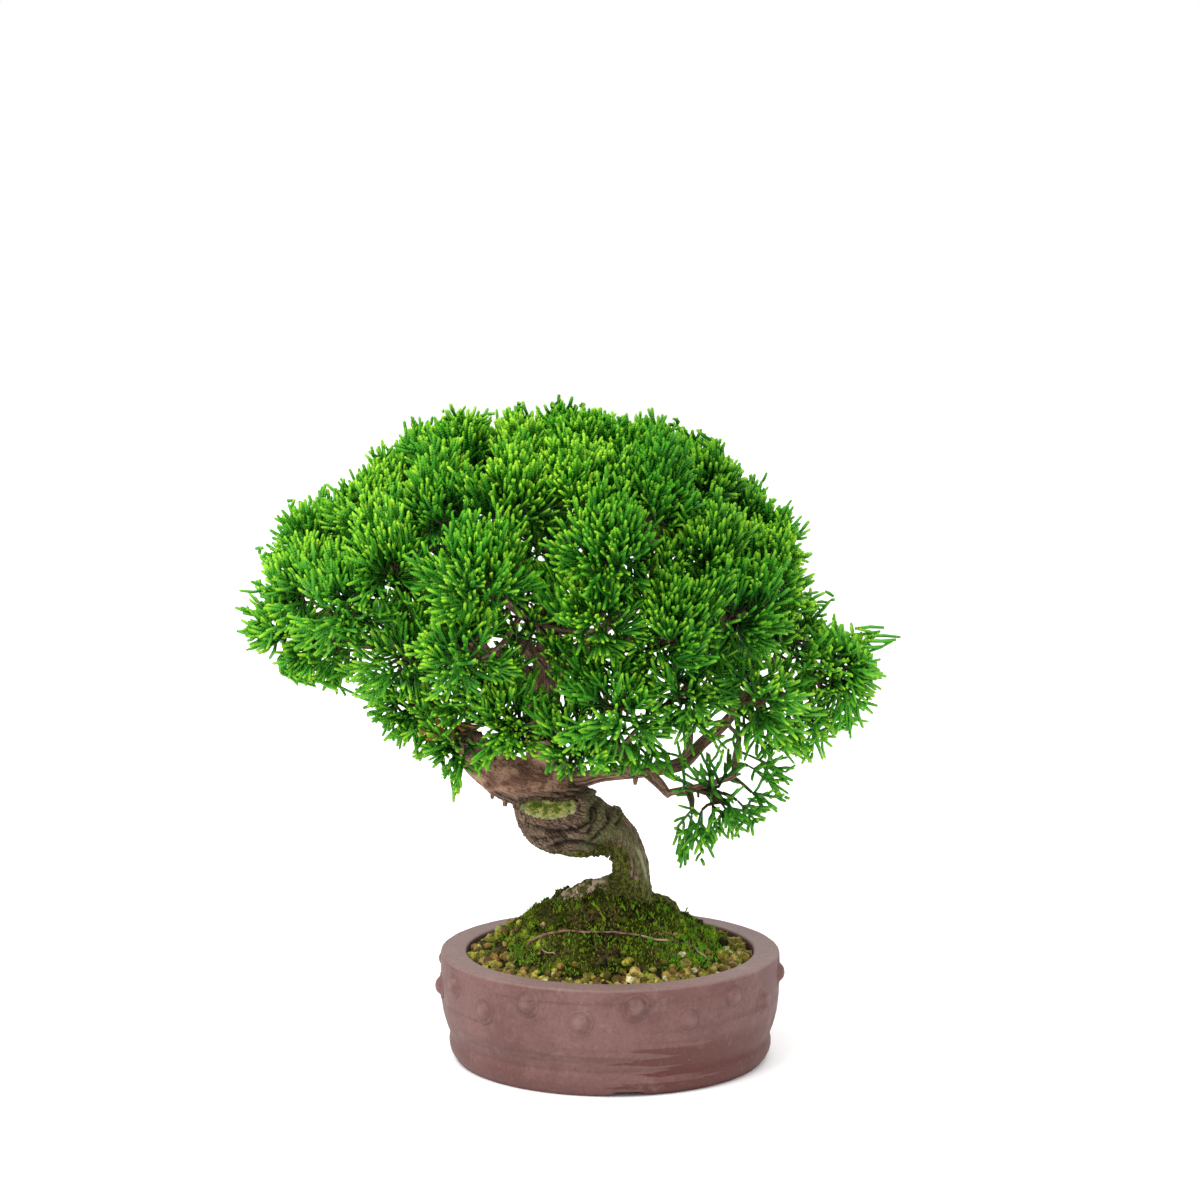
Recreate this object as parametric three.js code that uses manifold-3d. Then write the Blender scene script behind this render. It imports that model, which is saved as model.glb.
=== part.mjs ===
// Itoigawa juniper bonsai in a round drum pot, in millimetres, +Z up.
// It is laid out round the pot's axis, and moved at the end so that the origin is on the floor
// below the middle of the whole plant's box. +X is to the viewer's right, +Y away from the viewer.
import * as THREE from 'three';
import { mergeVertices } from 'three/addons/utils/BufferGeometryUtils.js';
import Module from 'manifold-3d';

const wasm = await Module();
wasm.setup();

// Gap left between pieces that touch, and the finest detail kept in a fused piece
const SEAT = 0.3;
const FINEST = 0.05;
const WOOD_FINEST = 0.2;
const LEAF_FINEST = 0.12;

// Drum pot
const POT_HEIGHT = 53.8;
const RIM_RADIUS = 85;
const MOUTH_RADIUS = 72;
const WAIST_RADIUS = 80.3;
const FOOT_RADIUS = 77.8;
const FOOT_INNER_RADIUS = 64;
const FOOT_RECESS = 3.5;
const POT_FLOOR = 10;
const POT_SIDES = 30;
const STUD_COUNT = 20;
const STUD_RADIUS = 5;
const STUD_STAND = 2.2;
const STUD_HIGH = 45;
const STUD_LOW = 37.5;
const STUD_FIRST_ANGLE = -82;
const NOTCH_WIDTH = 18;
const NOTCH_HEIGHT = 2.6;
const NOTCH_ANGLES = [-84, 6, 96, 186];

// Drainage
const DRAIN_X = [-28, 28];
const DRAIN_RADIUS = 7;
const SCREEN_SIZE = 24;
const SCREEN_THICK = 1;
const SCREEN_HOLE = 3.6;
const WIRE_RADIUS = 0.75;
const CLIP_HALF_SPAN = 4.5;
const POCKET_SIZE = 27;
const POCKET_DEPTH = 3.6;

// Soil and moss
const SOIL_RIM_HEIGHT = 46.5;
const MOUND_HEIGHT = 33;
const MOUND_OFFSET = 7;
const GROUND_SIDES = 24;
const MOSS_THICK = 3.4;
const MOSS_EDGE = 58;
const GROUND_RINGS = [0, 8, 17, 27];
const GRANULE_COUNT = 26;
const GRANULE_RADIUS = 2.6;

// Root crown that fills a plain hole in moss and soil
const CROWN_HALF_X = 22;
const CROWN_HALF_Y = 14;
const CROWN_BOTTOM = 36;

// Colours
const CLAY = 0x8f6a67;
const BARK = 0x6b4f40;
const LEAF = 0x3f7d22;
const LEAF_DARK = 0x346a1e;
const MOSS = 0x44551a;
const SOIL = 0x6f6235;
const ROOT = 0x7a6650;
const PLASTIC = 0x26282a;
const COPPER = 0x8c5a3c;

// The wood: each limb is a list of [x, y, z, radius]
const STEM = [
  [9, 0, 66, 9.5], [10, 0, 82, 9.9], [10.5, 0, 95, 8.6], [7.6, 0, 106, 8.3], [1, -1, 114.5, 9.2],
  [-9, -2.5, 117.5, 11.4], [-20, -3.5, 115.5, 13.2], [-31, -2.5, 117, 12.2], [-37.5, 3, 124, 10],
  [-33, 10, 133, 10], [-24, 11, 137, 10], [-27, 9, 141, 9.2], [-33, 8, 150, 8.8], [-34.5, 9, 163, 8.2],
  [-33, 8, 178, 7.4], [-32, 5, 198, 6.4], [-29, 0, 218, 5.4], [-25, -3, 240, 4.5], [-18, 0, 262, 3.6],
  [-12, 0, 284, 2.4],
];
const LOG = [
  [-24, 8, 136.5, 9.6], [-36, 6, 137.5, 10.8], [-48, 5, 141, 10.8], [-59, 3, 149, 9.6],
  [-68, 1, 158, 8.2], [-77, -2, 168, 6.2],
];
const LIMBS = [
  // strongest branch, to the right
  [[-24, 9, 138, 4.4], [-13, 4, 139, 4.2], [-4, 0, 142, 3.9], [20, -4, 145, 3.5], [36, -6, 149, 3.4],
    [46, -6, 159, 3.2], [55, -6, 167, 2.9], [63, -5, 175, 2.4], [82, -3, 182, 2], [97, 0, 181, 1.8],
    [106, 0, 186, 1.5]],
  [[17, -4, 145, 2.9], [24, -6, 139, 2.8], [29.5, -9, 132.5, 1.9]],
  [[28, -8, 134, 1.9], [44, -12, 138, 1.6], [55, -13, 141.5, 1.6], [61, -12, 144, 1.9], [62, -11, 153, 1.7],
    [64, -10, 163, 1.3]],
  [[36, -6, 149, 2.2], [39, -7, 158, 1.9], [40, -7, 167, 1.4]],
  [[10, -3, 143, 2.2], [8, -25, 152, 1.9], [4, -45, 162, 1.5]],
  // level branch to the left tip
  [[-33, 8, 183, 4.4], [-50, 4, 198, 4], [-75, 0, 204, 3.4], [-100, -3, 207, 2.8], [-125, -4, 208, 2.2],
    [-146, 0, 209, 1.6]],
  [[-34, 9, 168, 4.2], [-55, 14, 192, 3.8], [-80, 18, 222, 3.2], [-104, 14, 247, 2.5], [-124, 8, 258, 1.7]],
  [[-32, 5, 196, 3.8], [-52, -20, 218, 3.2], [-74, -38, 236, 2.6], [-92, -42, 250, 1.8]],
  // right hand of the crown
  [[-33, 7, 186, 4.6], [-20, 4, 199, 4.2], [5, 9, 207, 3.8], [35, 10, 214, 3.2], [62, 8, 222, 2.6],
    [84, 4, 228, 1.8]],
  [[-29, 1, 216, 3.8], [-8, -26, 232, 3.2], [18, -48, 242, 2.6], [36, -52, 246, 1.8]],
  [[-26, -2, 236, 3.4], [2, -2, 252, 2.9], [30, -4, 264, 2.4], [54, -4, 268, 1.7]],
  // toward and away from the viewer
  [[-30, 1, 212, 3.6], [-34, -30, 222, 3], [-42, -62, 230, 2.4], [-50, -74, 238, 1.7]],
  [[-33, 8, 180, 4.2], [-31, 34, 200, 3.6], [-42, 60, 216, 2.9], [-62, 76, 224, 1.9]],
  [[-32, 20, 190, 3.2], [-8, 46, 206, 2.9], [14, 72, 218, 2.4], [22, 88, 224, 1.6]],
  [[-28, 0, 224, 3.4], [-50, 28, 246, 2.9], [-76, 46, 258, 2.2], [-92, 52, 262, 1.6]],
  [[-26, -2, 236, 3.2], [-4, 28, 256, 2.7], [18, 48, 262, 2.2], [34, 54, 264, 1.6]],
  // top
  [[-14, 0, 276, 2.5], [-34, 2, 288, 2], [-54, 0, 294, 1.5]],
  [[-22, -2, 250, 3], [-50, -4, 270, 2.4], [-74, 0, 284, 1.8], [-88, 4, 288, 1.4]],
  [[10, 10, 208, 3], [36, 34, 206, 2.5], [50, 60, 198, 1.8]],
];

// Bunches of foliage: middle and half width, the outline's first, then those in front, then behind
const BUNCHES = [
  [-169, 0, 213, 21], [-155, -20, 244, 21], [-152, 20, 262, 18.5], [-123, -5, 284, 21.5],
  [-98, 22, 300, 22], [-76, -16, 308, 22], [-43, 24, 308, 23], [-11, -10, 311, 23],
  [21, 26, 303, 23], [47, -16, 296, 22.5], [70, 20, 274, 22], [81, -15, 250, 21.5],
  [101, 10, 218, 21.5], [122, -10, 203, 21], [112, 5, 173, 18], [55, -15, 126, 23],
  [-83, -30, 160, 21], [-106, -5, 178, 19.5],
  [-132, -48, 234, 23.5], [-108, -60, 262, 23], [-82, -58, 285, 22.5], [-46, -66, 291, 23],
  [-13, -60, 294, 22.5], [20, -62, 289, 23], [47, -62, 263, 22], [-59, -98, 255, 23],
  [-69, -88, 221, 22], [-102, -45, 208, 21], [0, -95, 268, 23], [-5, -90, 238, 21],
  [31, -82, 229, 23], [62, -60, 234, 22.5], [73, -52, 191, 21.5], [5, -72, 188, 21.5],
  [-18, -58, 164, 20.5], [-49, -48, 178, 19], [38, -62, 194, 19.5],
  [-139, 50, 236, 25], [-104, 62, 270, 25], [-62, 66, 291, 25], [-14, 68, 293, 26],
  [33, 64, 279, 25.5], [76, 56, 232, 26], [-82, 96, 240, 26], [-28, 104, 250, 26],
  [27, 98, 243, 26], [62, 78, 192, 25], [-96, 62, 204, 25],
  [-44, -20, 303, 20], [16, -20, 304, 21], [-30, 70, 204, 22],
];
// Long leader shoots: number of the bunch that each grows from, and its tip
const LEADERS = [
  [0, -187.5, 0, 214], [1, -173, -20, 255], [2, -163, 20, 276], [4, -98, 10, 323], [5, -80, -15, 329],
  [6, -27, 14, 331], [6, -46, 18, 329], [7, -14, -13, 332], [9, 33, -8, 322], [9, 57, -15, 315],
  [11, 101, -16, 254], [12, 113, 8, 232], [13, 145, -10, 215], [13, 133, -8, 217], [15, 90, -17, 132],
  [15, 45, -14, 101], [31, 69, -72, 247], [16, -76, -30, 140],
];
// Bunches point away from the tree's heart and a little up; lengths are shares of their half width
const HEART = [-18, 0, 192];
const LIFT = 0.42;
const FOOT_BELOW = 0.85;
const LARGE_BUNCH = 24;
const RING_OUT = 0.46;
const RING_SPREAD = 1.45;
const RING_SINK = 0.08;
const RING_LEAN = 0.85;
const MIDDLE_RISE = 0.1;
const CORE_SIDES = 4;
const CORE_WIDE = 0.18;
const CORE_LONG = 0.32;
const NEEDLE_RADIUS = 0.9;
const NEEDLE_REACHES = [0.88, 0.68, 0.5];
const NEEDLE_STRAY = 0.22;
const FORK_SHARE = 0.33;
const TWIG_RADIUS = 1;
const STRAIGHT_TWIG = 24;

// A repeatable number from 0 to 1 for a whole-number seed
function chance(seed) {
  const wave = Math.sin(seed * 12.9898 + 78.233) * 43758.5453;
  return wave - Math.floor(wave);
}

function vector(values) {
  return new THREE.Vector3(values[0], values[1], values[2]);
}

// A closed geometry as a solid that can be joined and cut
function solid(geometry) {
  const bare = geometry.clone();
  bare.deleteAttribute('normal');
  bare.deleteAttribute('uv');
  const merged = mergeVertices(bare, 1e-4);
  return new wasm.Manifold(new wasm.Mesh({
    numProp: 3,
    vertProperties: Float32Array.from(merged.attributes.position.array),
    triVerts: Uint32Array.from(merged.index.array),
  }));
}

// The largest piece of a solid, without loose scraps
function largest(body) {
  const pieces = body.decompose();
  return pieces.reduce((best, piece) => (piece.volume() > best.volume() ? piece : best));
}

function geometryOf(body) {
  const mesh = body.getMesh();
  const geometry = new THREE.BufferGeometry();
  geometry.setAttribute('position', new THREE.BufferAttribute(mesh.vertProperties, 3));
  geometry.setIndex(new THREE.BufferAttribute(mesh.triVerts, 1));
  return geometry;
}

// A cylinder bent along a smooth curve through [x, y, z, radius] points, closed at both ends
function limb(points, sides, steps, extra = 0) {
  const curve = new THREE.CatmullRomCurve3(points.map(vector), false, 'centripetal');
  const frames = curve.computeFrenetFrames(steps, false);
  const geometry = new THREE.CylinderGeometry(1, 1, 1, sides, steps);
  const place = geometry.attributes.position;
  for (let i = 0; i < place.count; i += 1) {
    const step = Math.round((place.getY(i) + 0.5) * steps);
    const along = curve.getUtoTmapping(step / steps) * (points.length - 1);
    const before = Math.min(Math.floor(along), points.length - 2);
    const radius = THREE.MathUtils.lerp(points[before][3], points[before + 1][3], along - before) + extra;
    const point = curve.getPointAt(step / steps);
    point.addScaledVector(frames.normals[step], -place.getX(i) * radius);
    point.addScaledVector(frames.binormals[step], place.getZ(i) * radius);
    place.setXYZ(i, point.x, point.y, point.z);
  }
  return geometry;
}

// The same curve as short straight stretches, to keep other pieces clear of it
function stretches(points, steps) {
  const curve = new THREE.CatmullRomCurve3(points.map(vector), false, 'centripetal');
  const list = [];
  for (let step = 0; step < steps; step += 1) {
    const along = curve.getUtoTmapping(step / steps) * (points.length - 1);
    const before = Math.min(Math.floor(along), points.length - 2);
    const radius = Math.max(points[before][3], points[before + 1][3]);
    list.push({
      start: curve.getPointAt(step / steps),
      end: curve.getPointAt((step + 1) / steps),
      radius,
    });
  }
  return list;
}

// A straight tapered rod between two points
function rod(start, end, startRadius, endRadius, sides) {
  const span = end.clone().sub(start);
  const geometry = new THREE.CylinderGeometry(endRadius, startRadius, span.length(), sides, 1);
  geometry.translate(0, span.length() / 2, 0);
  geometry.applyQuaternion(
    new THREE.Quaternion().setFromUnitVectors(new THREE.Vector3(0, 1, 0), span.normalize()),
  );
  geometry.translate(start.x, start.y, start.z);
  return geometry;
}

// Shortest distance between two straight stretches
function stretchDistance(a, b, c, d) {
  const ab = b.clone().sub(a);
  const cd = d.clone().sub(c);
  const ac = a.clone().sub(c);
  const abab = ab.dot(ab);
  const cdcd = cd.dot(cd);
  const abcd = ab.dot(cd);
  const abac = ab.dot(ac);
  const cdac = cd.dot(ac);
  const spread = abab * cdcd - abcd * abcd;
  let s = spread > 1e-9 ? THREE.MathUtils.clamp((abcd * cdac - abac * cdcd) / spread, 0, 1) : 0;
  const t = THREE.MathUtils.clamp((abcd * s + cdac) / cdcd, 0, 1);
  s = THREE.MathUtils.clamp((abcd * t - abac) / abab, 0, 1);
  return a.clone().addScaledVector(ab, s).distanceTo(c.clone().addScaledVector(cd, t));
}

// Two directions square to an axis
function square(axis) {
  const other = Math.abs(axis.z) < 0.9 ? new THREE.Vector3(0, 0, 1) : new THREE.Vector3(1, 0, 0);
  const first = new THREE.Vector3().crossVectors(axis, other).normalize();
  return [first, new THREE.Vector3().crossVectors(axis, first)];
}

// An axis leaned by an angle towards a bearing round itself
function lean(axis, angle, bearing) {
  const [first, second] = square(axis);
  return axis.clone().multiplyScalar(Math.cos(angle))
    .addScaledVector(first, Math.sin(angle) * Math.cos(bearing))
    .addScaledVector(second, Math.sin(angle) * Math.sin(bearing));
}

const plant = new THREE.Group();

function add(name, body, colour, roughness, metalness = 0) {
  const material = new THREE.MeshStandardMaterial({ color: colour, roughness, metalness });
  const mesh = new THREE.Mesh(geometryOf(body), material);
  mesh.name = name;
  plant.add(mesh);
  return mesh;
}

// Pot: a turned drum with a wide flat rim, a waist groove over a low ring, and a foot ring
function potBody() {
  const profile = [
    [0, FOOT_RECESS], [FOOT_INNER_RADIUS - 1.5, FOOT_RECESS], [FOOT_INNER_RADIUS, 0],
    [FOOT_RADIUS - 1, 0], [80, 4], [81, 9.2], [WAIST_RADIUS, 12.3],
    [82.4, 19], [84.5, 28], [RIM_RADIUS, POT_HEIGHT - 1.4],
    [RIM_RADIUS - 1.4, POT_HEIGHT], [MOUTH_RADIUS, POT_HEIGHT],
    [MOUTH_RADIUS, POT_FLOOR], [0, POT_FLOOR],
  ];
  const drum = new THREE.LatheGeometry(profile.map(([r, z]) => new THREE.Vector2(r, z)), POT_SIDES);
  drum.rotateX(Math.PI / 2);
  return solid(drum);
}

// Stud: a low dome of applied clay, at one place round the drum
function stud(index) {
  const angle = THREE.MathUtils.degToRad(STUD_FIRST_ANGLE + (index * 360) / STUD_COUNT);
  const profile = [[0, -2], [STUD_RADIUS, -2], [STUD_RADIUS * 0.72, STUD_STAND * 0.7], [0, STUD_STAND]];
  const dome = new THREE.LatheGeometry(profile.map(([r, z]) => new THREE.Vector2(r, z)), 5);
  dome.rotateZ(-Math.PI / 2);
  dome.translate(RIM_RADIUS - 0.5, 0, index % 2 ? STUD_LOW : STUD_HIGH);
  dome.rotateZ(angle);
  return solid(dome);
}

// Notch: a flat arch through the foot ring
function notch(degrees) {
  const arch = new THREE.CylinderGeometry(NOTCH_WIDTH / 2, NOTCH_WIDTH / 2, 30, 10);
  arch.rotateZ(Math.PI / 2);
  arch.scale(1, 1, NOTCH_HEIGHT / (NOTCH_WIDTH / 2));
  arch.translate(FOOT_RADIUS - 4, 0, 0);
  arch.rotateZ(THREE.MathUtils.degToRad(degrees));
  return solid(arch);
}

function drainHole(x) {
  const hole = new THREE.CylinderGeometry(DRAIN_RADIUS, DRAIN_RADIUS, 30, 12);
  hole.rotateX(Math.PI / 2);
  hole.translate(x, 0, POT_FLOOR / 2);
  return solid(hole);
}

let pot = potBody();
for (let i = 0; i < STUD_COUNT; i += 1) {
  pot = pot.add(stud(i));
}
for (const degrees of NOTCH_ANGLES) {
  pot = pot.subtract(notch(degrees));
}
for (const x of DRAIN_X) {
  pot = pot.subtract(drainHole(x));
}
add('pot', largest(pot.simplify(FINEST)), CLAY, 0.85);

// Drainage screen: a square of plastic mesh over each hole
function drainScreen(x) {
  const plate = new THREE.BoxGeometry(SCREEN_SIZE, SCREEN_SIZE, SCREEN_THICK);
  const middle = POT_FLOOR + SEAT + SCREEN_THICK / 2;
  plate.translate(x, 0, middle);
  let body = solid(plate);
  for (const column of [-1, 1]) {
    for (const row of [-1, 0, 1]) {
      const hole = new THREE.BoxGeometry(SCREEN_HOLE, SCREEN_HOLE, SCREEN_THICK * 3);
      hole.translate(x + column * CLIP_HALF_SPAN, row * SCREEN_HOLE * 1.5, middle);
      body = body.subtract(solid(hole));
    }
  }
  return body;
}

// Wire clip: a staple over the screen, down through the hole and out under the pot's floor
function drainClip(x) {
  const top = POT_FLOOR + SCREEN_THICK + 2 * SEAT + WIRE_RADIUS;
  const under = FOOT_RECESS - SEAT - WIRE_RADIUS;
  const route = [
    [x - DRAIN_RADIUS - 4, 0, under, WIRE_RADIUS], [x - CLIP_HALF_SPAN - 1.5, 0, under, WIRE_RADIUS],
    [x - CLIP_HALF_SPAN, 0, under + 2, WIRE_RADIUS], [x - CLIP_HALF_SPAN, 0, top - 1.5, WIRE_RADIUS],
    [x - CLIP_HALF_SPAN + 1.5, 0, top, WIRE_RADIUS], [x + CLIP_HALF_SPAN - 1.5, 0, top, WIRE_RADIUS],
    [x + CLIP_HALF_SPAN, 0, top - 1.5, WIRE_RADIUS], [x + CLIP_HALF_SPAN, 0, under + 2, WIRE_RADIUS],
    [x + CLIP_HALF_SPAN + 1.5, 0, under, WIRE_RADIUS], [x + DRAIN_RADIUS + 4, 0, under, WIRE_RADIUS],
  ];
  return solid(limb(route, 4, 14));
}

DRAIN_X.forEach((x, index) => {
  add(`drain_screen_${index + 1}`, drainScreen(x), PLASTIC, 0.6);
  add(`drain_clip_${index + 1}`, drainClip(x), COPPER, 0.4, 0.9);
});

// Ground: height of the soil over the pot's foot at a distance from the axis, with slow bumps
function groundHeight(x, y) {
  const offset = MOUND_OFFSET * (1 - Math.min(Math.hypot(x, y) / MOUTH_RADIUS, 1));
  const reach = Math.min(Math.hypot(x + offset, y) / MOUTH_RADIUS, 1);
  const mound = MOUND_HEIGHT * (1 - reach ** 1.75) ** 1.15;
  const bumps = 1.1 * Math.sin(x / 7 + 0.6) * Math.cos(y / 6 - 0.4) * (1 - reach);
  return SOIL_RIM_HEIGHT + mound + bumps;
}

// Distance from the axis to the crown's edge in a direction
function crownRadius(angle, grown) {
  const halfX = CROWN_HALF_X + grown;
  const halfY = CROWN_HALF_Y + grown;
  return (halfX * halfY) / Math.hypot(halfY * Math.cos(angle), halfX * Math.sin(angle));
}

// Ring of the ground: 0 is the crown's hole, the last is the moss's scalloped edge
function ringRadius(ring, angle) {
  const hole = crownRadius(angle, SEAT);
  const edge = MOSS_EDGE + 2.2 * Math.sin(3 * angle + 1) + 1.6 * Math.sin(5 * angle);
  const share = GROUND_RINGS[ring] / (GROUND_RINGS.at(-1) + 9);
  return ring === GROUND_RINGS.length ? edge : hole + (edge - hole) * share;
}

// A turned ring or disc whose profile points say which ring of the ground they follow;
// crossed splits its faces along their other diagonals, as the face it lies on is split
function groundSolid(profile, crossed = false) {
  const places = profile.map(([ring], index) => new THREE.Vector2(ring === 'axis' ? 0 : 10 + index, index));
  const geometry = new THREE.LatheGeometry(places, GROUND_SIDES);
  geometry.rotateX(Math.PI / 2);
  const place = geometry.attributes.position;
  for (let i = 0; i < place.count; i += 1) {
    const [ring, height, lift] = profile[Math.round(place.getZ(i))];
    const angle = Math.atan2(crossed ? -place.getY(i) : place.getY(i), place.getX(i));
    let radius = 0;
    if (ring === 'wall') radius = MOUTH_RADIUS * Math.cos(Math.PI / POT_SIDES) - SEAT;
    else if (ring !== 'axis') radius = ringRadius(ring, angle);
    const x = radius * Math.cos(angle);
    const y = radius * Math.sin(angle);
    place.setXYZ(i, x, y, height === 'ground' ? groundHeight(x, y) + lift : height);
  }
  const index = geometry.index.array;
  for (let i = 0; crossed && i < index.length; i += 3) {
    [index[i], index[i + 1]] = [index[i + 1], index[i]];
  }
  return solid(geometry);
}

// Soil: fills the pot round the crown, with coarse granules sunk in its rim
function soilBody() {
  const rings = [0, 1, 2, 3, 4].map((ring) => [ring, 'ground', 0]);
  const profile = [
    ['axis', POT_FLOOR + SEAT], ['wall', POT_FLOOR + SEAT], ['wall', 'ground', 0],
    ...rings.reverse(), [0, CROWN_BOTTOM - SEAT], ['axis', CROWN_BOTTOM - SEAT],
  ];
  let body = groundSolid(profile);
  for (const x of DRAIN_X) {
    const pocket = new THREE.BoxGeometry(POCKET_SIZE, POCKET_SIZE, POCKET_DEPTH * 2);
    pocket.translate(x, 0, POT_FLOOR);
    body = body.subtract(solid(pocket));
  }
  for (let i = 0; i < GRANULE_COUNT; i += 1) {
    const angle = i * (2 * Math.PI / GRANULE_COUNT) + 0.06 * chance(i);
    const radius = GRANULE_RADIUS * (0.8 + 0.35 * chance(i + 100));
    const inner = ringRadius(4, angle) + radius + 1;
    const distance = inner + (MOUTH_RADIUS - radius - 1 - inner) * chance(i + 200);
    const grain = new THREE.OctahedronGeometry(radius, 0);
    grain.rotateX(chance(i + 300) * 3);
    grain.rotateZ(chance(i + 400) * 3);
    const x = distance * Math.cos(angle);
    const y = distance * Math.sin(angle);
    grain.translate(x, y, groundHeight(x, y) + 0.5);
    body = body.add(solid(grain));
  }
  return body;
}

// Moss: a cushion over the mound, open round the crown
function mossBody() {
  const top = [0, 1, 2, 3].map((ring) => [ring, 'ground', SEAT + MOSS_THICK * (ring % 2 ? 1 : 0.86)]);
  const bottom = [4, 3, 2, 1, 0].map((ring) => [ring, 'ground', SEAT]);
  const edge = [4, 'ground', SEAT + 1.6];
  return groundSolid([...top, edge, ...bottom, top[0]].reverse(), true);
}

// Crown: the flare of roots, straight-sided below the moss and domed above it
function crownBody() {
  const shape = [[0, CROWN_BOTTOM], [1, CROWN_BOTTOM], [1, 79], [0.92, 82.5], [0.7, 86], [0.4, 88], [0, 89]];
  const geometry = new THREE.LatheGeometry(shape.map(([r, z]) => new THREE.Vector2(r, z)), GROUND_SIDES);
  geometry.rotateX(Math.PI / 2);
  const place = geometry.attributes.position;
  for (let i = 0; i < place.count; i += 1) {
    const angle = Math.atan2(place.getY(i), place.getX(i));
    const share = Math.hypot(place.getX(i), place.getY(i));
    const radius = share * crownRadius(angle, 0);
    const lumps = place.getZ(i) > 80 ? 1.4 * Math.sin(5 * angle + 1) * share : 0;
    place.setXYZ(i, radius * Math.cos(angle), radius * Math.sin(angle), place.getZ(i) + lumps);
  }
  return solid(geometry);
}

// Root that leaves the stem's foot, arches clear of the moss and dives into it
const ARCH_ROOT = [
  [15, -1, 80, 3.4], [23, -2.5, 80, 2.3], [29, -4, 78.5, 2], [33.5, -5, 73.5, 1.8], [34.5, -5.5, 62, 1.6],
];
// Plates of root that lie over the crown's left shoulder
const ROOT_PLATES = [
  [[6, 2, 86, 6.5], [-6, 0, 86.5, 5.2], [-14.5, -3, 83, 3.8], [-18, -3.4, 80, 2.4]],
  [[8, -4, 84, 6], [2, -8, 82, 4], [-3, -11, 78, 1.4]],
  [[12, 4, 84, 6], [14, 6.5, 81, 3.2], [15, 7.5, 77, 1.2]],
];
// Strands twisted round the coil: start and end along the stem's list, side they start on, size
const STRANDS = [
  { from: 4, to: 8.4, bearing: 0.4, turn: 3.4, radius: 4.6, out: 0.62 },
  { from: 3.6, to: 7.8, bearing: 2.5, turn: 3.2, radius: 4.2, out: 0.66 },
  { from: 4.4, to: 8.8, bearing: 4.5, turn: 3, radius: 4.4, out: 0.64 },
];

// A strand's route: it winds round the stem's middle line at a share of the stem's radius
function strandRoute(strand) {
  const curve = new THREE.CatmullRomCurve3(STEM.map(vector), false, 'centripetal');
  const route = [];
  const count = 9;
  for (let i = 0; i < count; i += 1) {
    const along = THREE.MathUtils.lerp(strand.from, strand.to, i / (count - 1));
    const before = Math.floor(along);
    const radius = THREE.MathUtils.lerp(STEM[before][3], STEM[before + 1][3], along - before);
    const axis = curve.getTangent(along / (STEM.length - 1));
    const side = lean(axis, Math.PI / 2, strand.bearing + (strand.turn * i) / (count - 1));
    const point = curve.getPoint(along / (STEM.length - 1)).addScaledVector(side, radius * strand.out);
    const ends = Math.sin((Math.PI * (i + 1)) / (count + 1));
    route.push([point.x, point.y, point.z, strand.radius * (0.55 + 0.45 * ends)]);
  }
  return route;
}

// Ledge: the crescent scar on the coil's front, its flat side up
function ledgeBody() {
  const disc = new THREE.SphereGeometry(1, 9, 4);
  disc.rotateX(Math.PI / 2);
  disc.scale(17, 10.5, 9);
  disc.translate(-30.5, -6.5, 128.5);
  return solid(disc).trimByPlane([0, 0.1, -1], -128.6);
}

// Outward direction of a bunch, from the heart of the tree and a little up
function bunchAxis(bunch) {
  const axis = vector(bunch).sub(vector(HEART)).normalize();
  axis.z += LIFT;
  return axis.normalize();
}

// Where a bunch's twig ends and its foliage begins
function bunchFoot(bunch) {
  return vector(bunch).addScaledVector(bunchAxis(bunch), -bunch[3] * FOOT_BELOW);
}

// Twig from the nearest limb, preferring to grow upward, to a bunch's foot
function twigRoute(bunch, sources) {
  const foot = bunchFoot(bunch);
  let best = null;
  let least = Infinity;
  for (const source of sources) {
    const cost = source.end.distanceTo(foot) + 0.8 * Math.max(0, source.end.z - foot.z);
    if (cost < least) {
      least = cost;
      best = source;
    }
  }
  const span = best.end.distanceTo(foot);
  const thick = Math.min(best.radius * 0.85, TWIG_RADIUS * 1.1 + span * 0.02);
  const start = [...best.end.toArray(), thick];
  const end = [...foot.toArray(), TWIG_RADIUS];
  if (span < STRAIGHT_TWIG) return [start, end];
  const middle = best.end.clone().lerp(foot, 0.55).addScaledVector(bunchAxis(bunch), -0.12 * span);
  return [start, [...middle.toArray(), (thick + TWIG_RADIUS) / 2], end];
}

// Wood: one grown piece from root crown to twigs
const clearOf = [];
let trunk = crownBody();
const trunkRoutes = [
  [STEM, 8, 25], [LOG, 7, 6], [ARCH_ROOT, 5, 5], ...ROOT_PLATES.map((plate) => [plate, 5, 3]),
  ...STRANDS.map((strand) => [strandRoute(strand), 4, 7]),
  ...LIMBS.map((points) => [points, 4, points.length - 1]),
];
for (const [points, sides, steps] of trunkRoutes) {
  trunk = trunk.add(solid(limb(points, sides, steps)));
  clearOf.push(...stretches(points, steps * 2));
}
trunk = trunk.add(ledgeBody());
const limbStretches = [...LIMBS, LOG.slice(3), STEM.slice(15)].flatMap((points) => stretches(points, 12));
const twigs = BUNCHES.map((bunch) => twigRoute(bunch, limbStretches));
for (const twig of twigs) {
  trunk = trunk.add(solid(limb(twig, 3, twig.length - 1)));
  clearOf.push(...stretches(twig, 6));
}
add('trunk', largest(trunk.simplify(WOOD_FINEST)), BARK, 0.9);

// Ground pieces, with plain holes where the arched root dives
const DIVE = [...ARCH_ROOT.slice(0, -1), [34.5, -5.5, 61, 1.6]];
const diveHole = solid(limb(DIVE, 5, 5, SEAT + 0.2));
add('soil', largest(soilBody().subtract(diveHole).simplify(FINEST)), SOIL, 1);
const moss = add('moss', largest(mossBody().subtract(diveHole)), MOSS, 1);

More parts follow.
